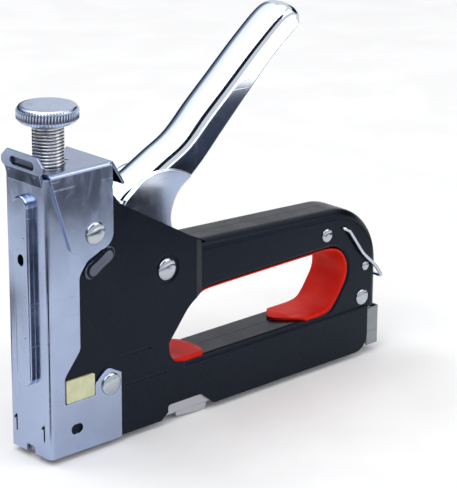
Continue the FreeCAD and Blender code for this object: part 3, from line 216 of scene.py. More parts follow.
def screw_painted_shade_and_highlight(tree, base):
    """Painted shade between the knob's ribs and in the thread's root, and a painted highlight along its
    crest.
    """
    low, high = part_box("adjusting_screw")
    off_axis = tree.vector("SUBTRACT", tree.place, ((low.x + high.x) / 2, (low.y + high.y) / 2, 0.0))
    radius = tree.vector("LENGTH", tree.vector("MULTIPLY", off_axis, (1.0, 1.0, 0.0)))
    height = tree.height()

    def tint(base, zone, none_at, full_at, colour):
        """Colour inside a zone of height, from none at one radius to full at another."""
        share = tree.math("MULTIPLY", tree.between(height, *zone), tree.linear(radius, none_at, full_at))
        return tree.mix(share, base, colour)

    ribs = high.z - 4.6 * MM, high.z - 1.5 * MM
    shank = low.z, high.z - 6.1 * MM
    # Painted shade in the rib gaps and in the thread's root, and a painted highlight on the crest.
    base = tint(base, ribs, KNOB_RIM - 0.05 * MM, KNOB_RIM - 0.40 * MM, (0.03, 0.035, 0.055))
    base = tint(base, shank, THREAD_CREST - 0.12 * MM, THREAD_ROOT, (0.17, 0.16, 0.155))
    return tint(base, shank, THREAD_CREST - 0.30 * MM, THREAD_CREST - 0.02 * MM, (0.70, 0.68, 0.66))


def black_paint():
    """Stoved black enamel: faint orange peel, dust, and a painted highlight on the edges."""
    tree = Tree("black_enamel")
    haze = tree.noise(0.03, 4.0, 0.6)
    dust = tree.ramp(tree.noise(0.0007, 2.0, 0.5), 0.70, 0.78)
    base = tree.mix(tree.ramp(haze, 0.35, 0.7), (0.0016, 0.0018, 0.0038), (0.0028, 0.0030, 0.0062))
    # Painted highlight: a lighter blue-black on the edges.
    base = tree.mix(tree.math("MULTIPLY", tree.edge_mask(0.5 * MM), 0.55), base, (0.028, 0.034, 0.052))
    base = tree.mix(tree.math("MULTIPLY", dust, 0.035), base, (0.16, 0.16, 0.17))
    peel = tree.noise(0.0011, 2.0, 0.5)
    rough = tree.ramp(tree.noise(0.012, 5.0, 0.6), 0.35, 0.7, 0.24, 0.34)
    normal = tree.bump(peel, 0.008 * MM, 0.5, tree.soft_edges(0.45 * MM))
    return tree.set(Base_Color=base, Roughness=rough, Normal=normal, Specular_IOR_Level=0.25,
                    Specular_Tint=(0.45, 0.65, 1.0, 1.0))


def red_plastic():
    """Moulded red liner: slight flow marks, a soft gloss and a painted highlight on the edges."""
    tree = Tree("red_moulding")
    flow = tree.noise(0.014, 4.0, 0.6, stretch=(0.5, 1.0, 1.0), twist=0.4)
    base = tree.mix(tree.ramp(flow, 0.35, 0.7), (0.507, 0.0066, 0.0015), (0.625, 0.0154, 0.0030))
    # Painted highlight: a lighter red on the edges.
    base = tree.mix(tree.math("MULTIPLY", tree.edge_mask(0.5 * MM), 0.35), base, (0.826, 0.0440, 0.0120))
    grain = tree.noise(0.0008, 2.0, 0.5)
    rough = tree.ramp(tree.noise(0.006, 4.0, 0.6), 0.35, 0.7, 0.36, 0.50)
    normal = tree.bump(grain, 0.010 * MM, 0.6, tree.soft_edges(0.6 * MM))
    return tree.set(Base_Color=base, Roughness=rough, Normal=normal, Specular_IOR_Level=0.12,
                    Subsurface_Weight=0.05, Subsurface_Scale=0.002)


def nylon():
    """Natural nylon: pale yellow, slightly translucent, with a moulded grain."""
    tree = Tree("natural_nylon")
    clouds = tree.noise(0.004, 4.0, 0.6)
    base = tree.mix(tree.ramp(clouds, 0.35, 0.7), (0.54, 0.55, 0.33), (0.64, 0.65, 0.46))
    normal = tree.bump(tree.noise(0.0006, 2.0, 0.5), 0.02 * MM, 0.7, tree.soft_edges(0.4 * MM))
    return tree.set(Base_Color=base, Roughness=0.42, Normal=normal, Subsurface_Weight=0.25,
                    Subsurface_Scale=0.003)


def raw_steel(name, colour, rough=0.32, grain=(0.05, 1.0, 1.0)):
    """Rolled steel with a drawn grain and small oil stains."""
    tree = Tree(name)
    lines = tree.noise(0.0012, 3.0, 0.6, stretch=grain)
    stains = tree.ramp(tree.noise(0.006, 4.0, 0.6), 0.5, 0.75)
    dark = tuple(c * 0.72 for c in colour)
    base = tree.mix(tree.math("MULTIPLY", tree.ramp(lines, 0.3, 0.7), 0.5), colour, dark)
    base = tree.mix(tree.math("MULTIPLY", stains, 0.35), base, dark)
    gloss = tree.ramp(lines, 0.3, 0.7, rough - 0.06, rough + 0.10)
    normal = tree.bump(lines, 0.010 * MM, 0.6, tree.soft_edges(0.3 * MM))
    return tree.set(Base_Color=base, Metallic=1.0, Roughness=gloss, Normal=normal)


MATERIALS = {
    "black_paint": black_paint(),
    # Grey metal: a painted sheen on the black-painted bulges, and painted shade in the sheet behind the hood.
    "sheen_and_shade_grey": plated("painted_sheen_and_shade", (0.15, 0.17, 0.22), (0.09, 0.10, 0.14), 0.42, 0.2, 0.01,
                          edge=0.10 * MM),
    "latch_steel": plated("latch_zinc", (0.30, 0.32, 0.34), (0.13, 0.14, 0.15), 0.30, 0.5, 0.02),
    "nose_chrome": plated("nose_plating", (0.40, 0.47, 0.65), (0.31, 0.37, 0.52), 0.17),
    "handle_chrome": plated("handle_plating", (0.76, 0.81, 0.90), (0.68, 0.74, 0.86), 0.07, 0.06, 0.004,
                            smear=0.03),
    "bright_rivet": plated("rivet_plating", (0.50, 0.54, 0.60), (0.34, 0.37, 0.42), 0.13, 0.15, 0.004),
    "plated_screw": plated("screw_plating", (0.56, 0.64, 0.84), (0.44, 0.51, 0.68), 0.16, 0.15, 0.004,
                           0.15 * MM, painted_light=screw_painted_shade_and_highlight),
    "plain_steel": raw_steel("rolled_steel", (0.50, 0.51, 0.53)),
    "hard_steel": raw_steel("hardened_steel", (0.30, 0.30, 0.32), 0.28, (1.0, 1.0, 0.05)),
    "spring_steel": plated("spring_wire", (0.66, 0.71, 0.84), (0.46, 0.50, 0.60), 0.17, 0.1, 0.003),
    "rail_steel": plated("zinc_plating", (0.60, 0.62, 0.66), (0.40, 0.41, 0.45), 0.28, 0.3, 0.01),
    "red_plastic": red_plastic(),
    "nylon": nylon(),
}


# Nodes whose look isn't the one of their slot in the record.
DRESSED_AS = {"rear_latch": "latch_steel"}


def dress(obj, slot):
    obj.data.materials.clear()
    obj.data.materials.append(MATERIALS[slot])


for part in frame["record"]["subparts"]:
    dress(NODES[part["node"]], DRESSED_AS.get(part["node"], part["material_slot"]))


# ---------------------------------------------------------------- mesh helpers
def skin(name, rows, loop=False, ends=False):
    """A smooth surface through rows of points; loop joins each row's ends, ends caps the rows."""
    count = len(rows[0])
    points = [p for row in rows for p in row]
    faces = []
    for i in range(len(rows) - 1):
        for j in range(count if loop else count - 1):
            a, b = i * count + j, i * count + (j + 1) % count
            faces.append((a, b, b + count, a + count))
    if ends:
        faces.append(tuple(range(count - 1, -1, -1)))
        faces.append(tuple(range(len(points) - count, len(points))))
    mesh = bpy.data.meshes.new(name)
    mesh.from_pydata(points, [], faces)
    work = bmesh.new()
    work.from_mesh(mesh)
    bmesh.ops.remove_doubles(work, verts=work.verts, dist=0.002 * MM)
    bmesh.ops.recalc_face_normals(work, faces=work.faces)
    work.to_mesh(mesh)
    work.free()
    mesh.shade_smooth()
    piece = bpy.data.objects.new(name, mesh)
    bpy.context.scene.collection.objects.link(piece)
    return piece


def fuse(name, pieces):
    """One piece from several."""
    work = bmesh.new()
    for piece in pieces:
        work.from_mesh(piece.data)
        bpy.data.objects.remove(piece)
    mesh = bpy.data.meshes.new(name)
    work.to_mesh(mesh)
    work.free()
    joined = bpy.data.objects.new(name, mesh)
    bpy.context.scene.collection.objects.link(joined)
    return joined


def settle(piece, node, slot):
    """Stand a piece in for a node: its finish, its body, and the node hidden."""
    body = next(b for b, members in frame["record"]["behaviour"]["bodies"].items() if node in members)
    dress(piece, slot)
    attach(piece, body)
    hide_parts(node)


def spun(profile, middle, axis="Z", steps=64, wave=None):
    """Rows of a form turned round Z or Y, from a profile of (radius, along).

    wave(angle, index) adds to a radius.
    """
    rows = []
    for index, (radius, along) in enumerate(profile):
        row = []
        for i in range(steps):
            angle = math.tau * i / steps
            r = max(0.0, radius + (wave(angle, index) if wave else 0.0))
            u, v = r * math.cos(angle), r * math.sin(angle)
            if axis == "Z":
                row.append((middle[0] + u, middle[1] + v, along))
            else:
                row.append((middle[0] + u, along, middle[2] + v))
        rows.append(row)
    return rows


def rounded(corners, radius, steps):
    """The open line through the corners with its bends rounded."""
    points = [Vector(c) for c in corners]
    line = [points[0]]
    for before, corner, after in zip(points, points[1:], points[2:]):
        back, onward = before - corner, after - corner
        reach = min(radius, back.length * 0.49, onward.length * 0.49)
        start, end = corner + back.normalized() * reach, corner + onward.normalized() * reach
        for i in range(steps + 1):
            t = i / steps
            line.append(start * (1 - t) ** 2 + corner * 2 * t * (1 - t) + end * t ** 2)
    line.append(points[-1])
    return line


def tube(name, line, radius, sides=16):
    """Round wire along a line, with rounded-off ends."""
    rows, up = [], Vector((0.3, 0.2, 0.9)).normalized()
    for i, point in enumerate(line):
        along = (line[min(i + 1, len(line) - 1)] - line[max(i - 1, 0)]).normalized()
        side = along.cross(up).normalized()
        up = side.cross(along).normalized()
        rows.append([tuple(point + (side * math.cos(math.tau * k / sides)
                                    + up * math.sin(math.tau * k / sides)) * radius)
                     for k in range(sides)])
    return skin(name, rows, loop=True, ends=True)


def through(points, steps):
    """A smooth curve through the points, with steps samples between each two."""
    line = []
    count = len(points)
    for i in range(count - 1):
        a, b = points[max(i - 1, 0)], points[i]
        c, d = points[i + 1], points[min(i + 2, count - 1)]
        for k in range(steps):
            t = k / steps
            line.append(0.5 * ((2 * b) + (c - a) * t + (2 * a - 5 * b + 4 * c - d) * t * t
                               + (3 * b - a - 3 * c + d) * t ** 3))
    line.append(points[-1])
    return line


# ---------------------------------------------------------------- handle
# Web line and lower edge of the handle, side view, from its front end to its tip, in millimetres.
HANDLE_WEB = ((37.1, 95.2), (42.9, 98.7), (49.6, 101.3), (60.3, 106.7), (71.3, 112.4), (82.0, 121.8),
              (93.0, 131.0), (105.7, 141.7), (114.9, 148.9), (119.3, 152.0), (123.0, 153.9), (126.6, 154.7),
              (130.1, 153.8), (132.4, 152.0), (133.0, 150.0), (132.4, 148.2))
HANDLE_EDGE = ((39.4, 88.6), (46.5, 88.2), (54.0, 88.4), (66.0, 90.4), (78.0, 98.9), (90.0, 110.3),
               (101.0, 120.8), (112.5, 131.8), (121.0, 138.9), (125.6, 142.2), (129.0, 144.6), (130.8, 145.9),
               (131.5, 146.5), (131.8, 146.9), (131.9, 147.2), (132.0, 147.6))
HANDLE_SHEET = 1.4 * MM
HANDLE_STEPS = 6                  # sections between two points of these lines
TIP_SECTIONS = 34.0               # sections over which the channel narrows towards its tip,
TIP_NARROWING = 0.16              # and by what share
LEAN_SECTIONS = 60.0              # sections over which its bends widen, from a little off the tip
# Arched rim of the handle's flat cheeks, from behind the pivot round to the front, side view in millimetres.
CHEEK_RIM = ((68.3, 69.0), (64.2, 76.0), (63.4, 82.0), (65.3, 88.0), (69.0, 92.6), (73.6, 95.6), (70.5, 97.8),
             (65.0, 99.9), (59.8, 100.6), (54.6, 100.2), (49.3, 98.4), (44.4, 95.2), (40.4, 92.2),
             (39.6, 89.0), (42.0, 82.5), (46.5, 74.5), (50.3, 68.0))
CHEEK_LOBE = 9.0 * MM             # radius of the cheek round the pivot
CHEEK_STEP = 0.6 * MM             # how far the cheeks stand out from the channel's sides


def channel_section(top, edge, half, lean):
    """Crowned channel between the web line and the lower edge: outside, then back along the inside.

    lean goes from 0 at the tip to 1 where the bend between web and wall is widest.
    """
    down = edge - top
    depth = down.length
    down = down.normalized()
    power = 2.4 - 0.3 * lean  # how square the bend is
    bend = min((5.2 + 2.0 * lean) * MM, depth * 0.85)  # how far down it reaches
    neck = half * 0.955  # half width of the crown
    curve = [Vector((neck * math.sin(math.pi * k / 32) ** (2 / power) + (half - neck) * 0.2 * k / 16,
                     bend * (1 - math.cos(math.pi * k / 32) ** (2 / power)))) for k in range(17)]
    start = curve[-1].x
    wall = max(0.0, depth - bend)
    curve += [Vector((start + (half - start) * k, bend + wall * k)) for k in (0.2, 0.4, 0.6, 0.8, 0.97, 1.0)]
    inner = [Vector((p.x * (1 - HANDLE_SHEET / half), min(p.y + HANDLE_SHEET, depth))) for p in curve]
    row = []
    for line, sign in ((reversed(curve), -1), (curve[1:], 1), (reversed(inner), 1), (inner[1:], -1)):
        for p in line:
            at = top + down * p.y
            row.append((at.x, sign * p.x, at.z))
    return row


def make_bright_handle():
    """Pressed channel with a crowned web and soft bends, wrapped round at the tip, with flat cheeks."""
    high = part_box("handle")[1]
    half = high.y - CHEEK_STEP
    web = through([Vector((x, 0, z)) * MM for x, z in HANDLE_WEB], HANDLE_STEPS)
    edge = through([Vector((x, 0, z)) * MM for x, z in HANDLE_EDGE], HANDLE_STEPS)
    rows = []
    for i, (top, bottom) in enumerate(zip(web, edge)):
        left = len(web) - 1 - i
        narrow = 1.0 - TIP_NARROWING * max(0.0, 1.0 - left / TIP_SECTIONS) ** 2.2
        lean = min(1.0, max(0.0, left / LEAN_SECTIONS - 0.3))
        rows.append(channel_section(top, bottom, half * narrow, lean))
    parts = [skin("channel", rows, loop=True, ends=True)]
    for side in (-1, 1):
        parts.append(make_cheek(side, high.y - 0.02 * MM))
    settle(fuse("bright_handle", parts), "handle", "handle_chrome")


def make_cheek(side, face):
    """Flat cheek of the handle, pressed out of its side; its arched rim runs into the rolled bend."""
    joints = frame["record"]["behaviour"]["joints"]
    pivot = next(j for j in joints if j["name"] == "handle_squeeze")["pos_m"]
    rim = [Vector((pivot[0] + CHEEK_LOBE * math.cos(math.pi * (1 + k / 24)), 0,
                   pivot[2] + CHEEK_LOBE * math.sin(math.pi * (1 + k / 24)))) for k in range(25)]
    rim += through([Vector((x, 0, z)) * MM for x, z in CHEEK_RIM], 5)
    rows, count = [], len(rim)
    # From the hidden foot of the rim to the open face: how far inwards and how far below it, in millimetres.
    for inset, drop in ((0.0, 4.0), (0.0, 0.35), (0.06, 0.12), (0.22, 0.0), (0.5, 0.0)):
        inset, drop = inset * MM, drop * MM
        row = []
        for k, p in enumerate(rim):
            along = (rim[(k + 1) % count] - rim[k - 1]).normalized()
            at = p + Vector((-along.z, 0, along.x)) * inset
            row.append((at.x, side * (face - drop), at.z))
        rows.append(row)
    return skin("cheek", rows, loop=True, ends=True)


# ---------------------------------------------------------------- adjusting screw
THREAD_PITCH = 1.25 * MM
THREAD_DEPTH = 0.62 * MM
THREAD_STEPS = 48                 # places per turn
# One pitch of the thread: share of the pitch, and 1 at the crest or 0 at the root.
THREAD_FORM = ((0.0, 1.0), (0.30, 1.0), (0.42, 0.75), (0.62, 0.0), (0.74, 0.0), (0.92, 0.8), (1.0, 1.0))
KNOB_HEIGHT = 6.2 * MM
KNOB_RIBS = 60
# Depth of the ribs at those points of the knob's profile that lie on its rim.
RIB_DEPTHS = {5: 0.30 * MM, 6: 0.42 * MM, 7: 0.42 * MM, 8: 0.30 * MM}


def make_thread(middle, bottom, top):
    """A real helical thread between two heights."""
    turns = (top - bottom) / THREAD_PITCH + 2
    rows = []
    for i in range(int(turns * THREAD_STEPS)):
        angle = math.tau * i / THREAD_STEPS
        rise = bottom - THREAD_PITCH + THREAD_PITCH * i / THREAD_STEPS
        row = []
        for share, full in THREAD_FORM:
            z = min(max(rise + share * THREAD_PITCH, bottom), top + 0.2 * MM)
            r = THREAD_CREST - THREAD_DEPTH * (1 - full)
            row.append((middle.x + r * math.cos(angle), middle.y + r * math.sin(angle), z))
        rows.append(row)
    return skin("thread", rows)


def make_thumb_screw():
    """Knob with fine ribs and bevelled rims on a threaded shank."""
    low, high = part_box("adjusting_screw")
    middle, rim = (low + high) / 2, (high.x - low.x) / 2
    knob_low, knob_high = high.z - KNOB_HEIGHT, high.z
    thread = make_thread(middle, low.z, knob_low)

    def ribs(angle, index):
        if index not in RIB_DEPTHS:
            return 0.0
        return -RIB_DEPTHS[index] * (0.5 - 0.5 * math.cos(KNOB_RIBS * angle)) ** 0.8

    # Radius and height, from the underside over the rim to the top.
    profile = ((0.0, knob_low), (rim - 3.2 * MM, knob_low), (rim - 1.55 * MM, knob_low),
               (rim - 1.40 * MM, knob_low + 0.08 * MM), (rim - 0.22 * MM, knob_low + 1.25 * MM),
               (rim - 0.10 * MM, knob_low + 1.40 * MM), (rim, knob_low + 1.65 * MM),
               (rim, knob_high - 1.55 * MM), (rim - 0.10 * MM, knob_high - 1.30 * MM),
               (rim - 0.22 * MM, knob_high - 1.15 * MM), (rim - 0.95 * MM, knob_high - 0.16 * MM),
               (rim - 1.20 * MM, knob_high - 0.03 * MM), (rim - 1.50 * MM, knob_high),
               (rim - 3.0 * MM, knob_high), (0.0, knob_high))
    knob = skin("knob", spun(profile, middle, steps=KNOB_RIBS * 6, wave=ribs), loop=True)
    collar = ((THREAD_CREST, knob_low - 0.5 * MM), (THREAD_CREST + 0.35 * MM, knob_low + 0.02 * MM))
    collar = skin("collar", spun(collar, middle), loop=True)
    settle(fuse("thumb_screw", [thread, knob, collar]), "adjusting_screw", "plated_screw")


# ---------------------------------------------------------------- rivets
# How far a head stands out, in millimetres, on the rivets that don't sit on the nose.
HEAD_HEIGHTS = {"handle_pivot": 1.6, "grip_rivet": 1.1, "heel_rivet": 1.1, "grip_pin": 0.77}


def make_domed_rivet(node, seat_half):
    """A rivet with a domed head on each side; seat_half is where its heads sit."""
    low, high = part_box(node)
    middle, radius = (low + high) / 2, (high.x - low.x) / 2
    top = high.y - seat_half
    heads = []
    for side in (-1, 1):
        profile = [(radius * 0.96, (seat_half - 0.05 * MM) * side), (radius, (seat_half + top * 0.12) * side)]
        for k in range(1, 13):
            angle = math.pi / 2 * k / 12
            dome = 0.12 + 0.88 * math.sin(angle) ** 0.9
            profile.append((radius * math.cos(angle), (seat_half + top * dome) * side))
        heads.append(skin("head", spun(profile, middle, axis="Y", steps=56), loop=True))
    shank = ((radius * 0.5, -seat_half), (radius * 0.5, seat_half))
    heads.append(skin("shank", spun(shank, middle, axis="Y", steps=32), loop=True))
    settle(fuse("domed_" + node, heads), node, "bright_rivet")


def make_rivets():
    make_domed_rivet("cap_rivet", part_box("nose_cap")[1].y)
    make_domed_rivet("foot_rivet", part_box("nose_cover")[1].y)
    for node, height in HEAD_HEIGHTS.items():
        make_domed_rivet(node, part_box(node)[1].y - height * MM)


# ---------------------------------------------------------------- wire bail
BAIL_WIRE = 0.7 * MM              # radius
BAIL_BEND = 1.6 * MM
BAIL_EYES = 9.1 * MM              # how far from the middle plane the ends reach in
# One side of the bail from its eye, along and up, in millimetres.
BAIL_RUN = ((0, 0), (2.6, -1.3), (11.0, -12.9), (18.5, -19.7), (22.9, -25.6))


def make_round_bail():
    """Drawn wire with rounded bends; its ends turn into the grip."""
    low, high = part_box("wire_bail")
    half = high.y - BAIL_WIRE
    eye_x, eye_z = low.x + BAIL_WIRE, high.z - BAIL_WIRE
    near_side = [(eye_x + x * MM, -half, eye_z + z * MM) for x, z in BAIL_RUN]
    far_side = [(x, -y, z) for x, y, z in reversed(near_side)]
    corners = [(eye_x, -BAIL_EYES, eye_z)] + near_side + far_side + [(eye_x, BAIL_EYES, eye_z)]
    wire = tube("drawn_bail", rounded(corners, BAIL_BEND, 6), BAIL_WIRE)
    settle(wire, "wire_bail", "spring_steel")


# ---------------------------------------------------------------- springs
MAIN_WIRE = 0.85 * MM             # radii of the wires
PUSHER_WIRE = 0.33 * MM
MAIN_TURNS, PUSHER_TURNS = 5, 20  # besides the closed turn at each end
TURN_STEPS = 24
WIRE_SIDES = 10
MAIN_SPLIT = 0.70                 # share of the main spring in its lower length


def helix(node, axis, turns, wire):
    """Centre line of a helical spring with closed end turns that fills the node's box."""
    low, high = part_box(node)
    middle = (low + high) / 2
    across = [k for k in range(3) if k != axis]
    radius = (high[across[0]] - low[across[0]]) / 2 - wire
    start, end = low[axis] + wire, high[axis] - wire
    closed, line = 2.1 * wire, []
    steps = int(TURN_STEPS * (turns + 2))
    for k in range(steps + 1):
        turn = (turns + 2) * k / steps
        if turn < 1.0:
            at = start + closed * turn
        elif turn > turns + 1.0:
            at = end - closed * (turns + 2 - turn)
        else:
            at = start + closed + (end - start - 2 * closed) * (turn - 1.0) / turns
        point = Vector(middle)
        point[across[0]] += radius * math.cos(math.tau * turn)
        point[across[1]] += radius * math.sin(math.tau * turn)
        point[axis] = at
        line.append(point)
    return line


def press(spring, axis, anchor):
    """Give a spring a mesh of its own."""
    way, place = [0.0, 0.0, 0.0], [0.0, 0.0, 0.0]
    way[axis], place[axis] = 1.0, anchor
    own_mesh(spring)


def make_springs():
    """The pusher's spring, and the main spring in two lengths.

    A piece follows one joint, so each length is a piece of its own.
    """
    line = helix("pusher_spring", 0, PUSHER_TURNS, PUSHER_WIRE)
    spring = tube("wound_pusher_spring", line, PUSHER_WIRE, WIRE_SIDES)
    settle(spring, "pusher_spring", "spring_steel")
    press(spring, 0, line[-1].x)
    line = helix("main_spring", 2, MAIN_TURNS, MAIN_WIRE)
    cut = int(len(line) * MAIN_SPLIT)
    lower = tube("wound_main_spring", line[:cut + 1], MAIN_WIRE, WIRE_SIDES)
    settle(lower, "main_spring", "spring_steel")
    press(lower, 2, line[cut].z)
    upper = tube("wound_spring_top", line[cut:], MAIN_WIRE, WIRE_SIDES)
    settle(upper, "main_spring", "spring_steel")
    press(upper, 2, line[cut].z)


# ---------------------------------------------------------------- grip liner
# Line of the liner round the hand opening, side view in millimetres.
LINER_LINE = ((82.0, 21.5), (74.0, 21.5), (67.5, 21.6), (62.9, 23.0), (60.7, 26.5), (60.5, 31.4),
              (64.4, 36.8), (68.6, 41.8), (73.4, 46.6), (80.0, 48.6), (88.0, 49.0), (105.0, 49.2),
              (122.0, 49.4), (138.0, 49.5), (148.6, 49.4), (155.4, 47.4), (159.3, 42.6), (160.1, 38.2),
              (159.3, 34.0), (156.6, 29.6), (153.4, 25.3), (150.2, 22.6), (146.0, 21.6), (138.0, 21.4),
              (132.0, 21.4), (125.6, 21.4))
LINER_CENTRE = Vector((110.0, 0, 36.0))
LINER_HALF = 9.75                 # half width
LINER_ACROSS = 12                 # places from its middle to its side
LINER_BACK = 0.12                 # how far its back stands off its line


def liner_thickness(p):
    """Thickness at a place on the line: thinner in the front corner and under the top, in millimetres."""
    if p.x < 62.0 or (p.x < 80.0 and p.z > 26.0):
        return 0.9
    return 0.75 if p.z > 48.0 and p.x < 146.0 else 1.25


def liner_sweep(p, y):
    """How far the liner's two lips at the rail curve back, as they drape over the rolled edges."""
    if p.x > 110.0:
        near = 10.5 * max(0.0, -y / LINER_HALF) ** 1.2
        far = 9.0 * max(0.0, (y - 1.0) / 9.5) ** 1.5
        return (near + far) * max(0.0, 1.0 - (p.x - 125.6) / 21.0)
    if p.x < 110.0:
        return -4.0 * (abs(y) / 10.5) ** 3 * min(1.0, max(0.0, (p.x - 66.0) / 16.0))
    return 0.0


def make_saddle_liner():
    """Red moulding round the hand opening; at the rail it opens into a saddle."""
    line = through([Vector((x, 0, z)) for x, z in LINER_LINE], 5)
    rows = []
    for i, p in enumerate(line):
        along = (line[min(i + 1, len(line) - 1)] - line[max(i - 1, 0)]).normalized()
        inward = Vector((-along.z, 0, along.x))
        if inward.dot(LINER_CENTRE - p) < 0:
            inward.negate()
        low = min(1.0, max(0.0, (25.5 - p.z) / 3.5))  # 1 along the rail, 0 above it
        inner, outer = [], []
        for k in range(-LINER_ACROSS, LINER_ACROSS + 1):
            share = abs(k / LINER_ACROSS)
            y = LINER_HALF * math.sin(math.pi / 2 * k / LINER_ACROSS)
            sweep = liner_sweep(p, y) if low > 0.6 else 0.0
            at = p + Vector((sweep, 0, 0)) - inward * ((0.25 + 0.35 * low) * share ** 6)
            top = at + inward * liner_thickness(p) * (1.0 - 0.65 * share ** 14)
            under = at + inward * LINER_BACK
            inner.append(tuple(Vector((top.x, y, top.z)) * MM))
            outer.append(tuple(Vector((under.x, y * 0.995, under.z)) * MM))
        rows.append(inner + outer[::-1])
    settle(skin("saddle_liner", rows, loop=True, ends=True), "grip_liner", "red_plastic")


# ---------------------------------------------------------------- bulges, and a dark sheet for the shade behind the hood
BULGE_MIDDLE = (25.4, 72.4)       # along and up, and the sizes below, in millimetres
BULGE_LEAN = math.radians(30)
BULGE_LONG, BULGE_WIDE = 8.3, 3.75  # half length and half width
BULGE_BASE, BULGE_RISE = 10.90, 2.0  # the shell's face, and the height over it
BULGE_RINGS, BULGE_SIDES = 16, 48


def make_boss():
    """Soft dumbbell pressed out of each shell ahead of the pivot."""
    reach = BULGE_LONG - BULGE_WIDE
    for side, name in ((-1, "boss_near"), (1, "boss_far")):
        rows = []
        for k in range(BULGE_RINGS + 1):
            size = 1.0 - 0.985 * k / BULGE_RINGS
            row = []
            for i in range(BULGE_SIDES):
                angle = math.tau * i / BULGE_SIDES
                end = math.tanh(2.4 * math.cos(angle)) / math.tanh(2.4)
                u = reach * end * (0.55 + 0.45 * size) + BULGE_WIDE * size * math.cos(angle)
                v = BULGE_WIDE * size * math.sin(angle) * (0.86 + 0.14 * end ** 2)
                x = BULGE_MIDDLE[0] + u * math.cos(BULGE_LEAN) - v * math.sin(BULGE_LEAN)
                z = BULGE_MIDDLE[1] + u * math.sin(BULGE_LEAN) + v * math.cos(BULGE_LEAN)
                lift = BULGE_RISE * math.sqrt(1.0 - size ** 2) * (0.92 + 0.08 * end ** 2)
                row.append((x * MM, side * (BULGE_BASE + lift) * MM, z * MM))
            rows.append(row)
        bulge = skin(name, rows, loop=True, ends=True)
        # Painted sheen: the black-painted bulge is dressed as a lighter grey metal.
        dress(bulge, "sheen_and_shade_grey")
        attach(bulge, "frame")


def make_hood_shade_sheet():
    """Dark dished sheet close behind the slot of the hood, standing in for the shade there."""
    bottom, top, half_wide = 111.0, 116.0, 8.4
    rows = []
    # Rings from its back edge over the rim into the dish: inset from the edge, and depth, in millimetres.
    for inset, x in ((0.3, 0.75), (0.0, 0.6), (0.0, 0.15), (0.25, 0.0), (1.4, 0.35), (2.3, 0.45)):
        corners = ((-half_wide + inset, bottom + inset), (half_wide - inset, bottom + inset),
                   (half_wide - inset, top - inset), (-half_wide + inset, top - inset))
        rows.append([(x * MM, y * MM, z * MM) for y, z in corners])
    shade_sheet = skin("hood_shade_sheet", rows, loop=True, ends=True)
    # Painted shade: a dark sheet put where there is only shade behind the slot.
    dress(shade_sheet, "sheen_and_shade_grey")
    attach(shade_sheet, "frame")


make_bright_handle()
make_saddle_liner()
make_springs()
make_boss()
make_hood_shade_sheet()
make_thumb_screw()
make_rivets()
make_round_bail()


# ---------------------------------------------------------------- studio
MIDDLE = (0.07, 0.0, 0.07)        # what the cards and lights stand round, in metres
NOSE = (0.0, -0.006)
LOWEST = CAD_BOX[0][2]
LOW = LOWEST + 0.0005             # cards on the floor lie this high
ROOM_TOP = 2.6
FLOOR_HALF = 6.0
WORLD_STRENGTH = 0.82
DARK = (0.010, 0.012, 0.022)
WHITE = (1.0, 1.0, 1.0)

# Cards: name, middle, radii, heights, colour, arc in degrees, and glow.
ON_FLOOR = (LOW, LOW)
CARDS = (
    ("dark_floor_near", MIDDLE, (0.265, 0.44), ON_FLOOR, DARK, (-30.0, 105.0), 0.0),
    ("dark_floor_left", MIDDLE, (0.365, 0.44), ON_FLOOR, DARK, (105.0, 175.0), 0.0),
    ("dark_floor_front", MIDDLE, (0.255, 0.44), ON_FLOOR, DARK, (175.0, 300.0), 0.0),
    ("dark_floor_cap", MIDDLE, (0.255, 0.60), ON_FLOOR, DARK, (300.0, 306.0), 0.0),
    ("dark_floor_cheek", MIDDLE, (0.205, 0.316), ON_FLOOR, DARK, (306.0, 309.0), 0.0),
    ("grey_floor_cheek", MIDDLE, (0.225, 0.350), ON_FLOOR, (0.50, 0.55, 0.68), (309.0, 318.0), 0.0),
    ("dark_floor_side", MIDDLE, (0.350, 0.43), ON_FLOOR, DARK, (306.0, 330.0), 0.0),
    ("dim_floor_side", MIDDLE, (0.43, 0.66), ON_FLOOR, (0.028, 0.038, 0.065), (306.0, 330.0), 0.0),
    ("dark_floor_bend", NOSE, (0.03, 0.26), ON_FLOOR, DARK, (204.0, 238.0), 0.0),
    ("dark_floor_hood", MIDDLE, (0.12, 0.24), ON_FLOOR, DARK, (122.0, 142.0), 0.0),
    ("pale_floor_tip", MIDDLE, (0.68, 1.8), ON_FLOOR, WHITE, (290.0, 335.0), 0.9),
    ("dark_front", MIDDLE, (1.8, 1.8), (0.80, 1.70), DARK, (205.0, 296.0), 0.0),
    ("pale_front", MIDDLE, (1.8, 1.5), (1.72, ROOM_TOP), WHITE, (222.0, 300.0), 1.1),
    ("dark_end", MIDDLE, (1.7, 1.5), (0.25, 1.0), DARK, (-30.0, 26.0), 0.0),
)
# Shades of the card behind the tool, by share of its height.
BACK_SHADES = ((0.0, DARK), (0.20, (0.02, 0.025, 0.045)), (0.36, (0.26, 0.30, 0.40)),
               (0.52, (1.12, 1.18, 1.30)), (1.0, (1.3, 1.3, 1.3)))


def flat_material(name, colour, glow=0.0):
    """Plain finish of a stage piece, with a faint speckle; a card may glow."""
    tree = Tree(name)
    speckle = tree.noise(0.05, 3.0, 0.5)
    darker = tuple(c * 0.97 for c in colour)
    base = tree.mix(tree.ramp(speckle, 0.4, 0.6), darker, colour)
    if glow:
        tree.set(Emission_Color=(*colour, 1.0), Emission_Strength=glow)
    return tree.set(Base_Color=base, Roughness=0.9, Specular_IOR_Level=0.0)


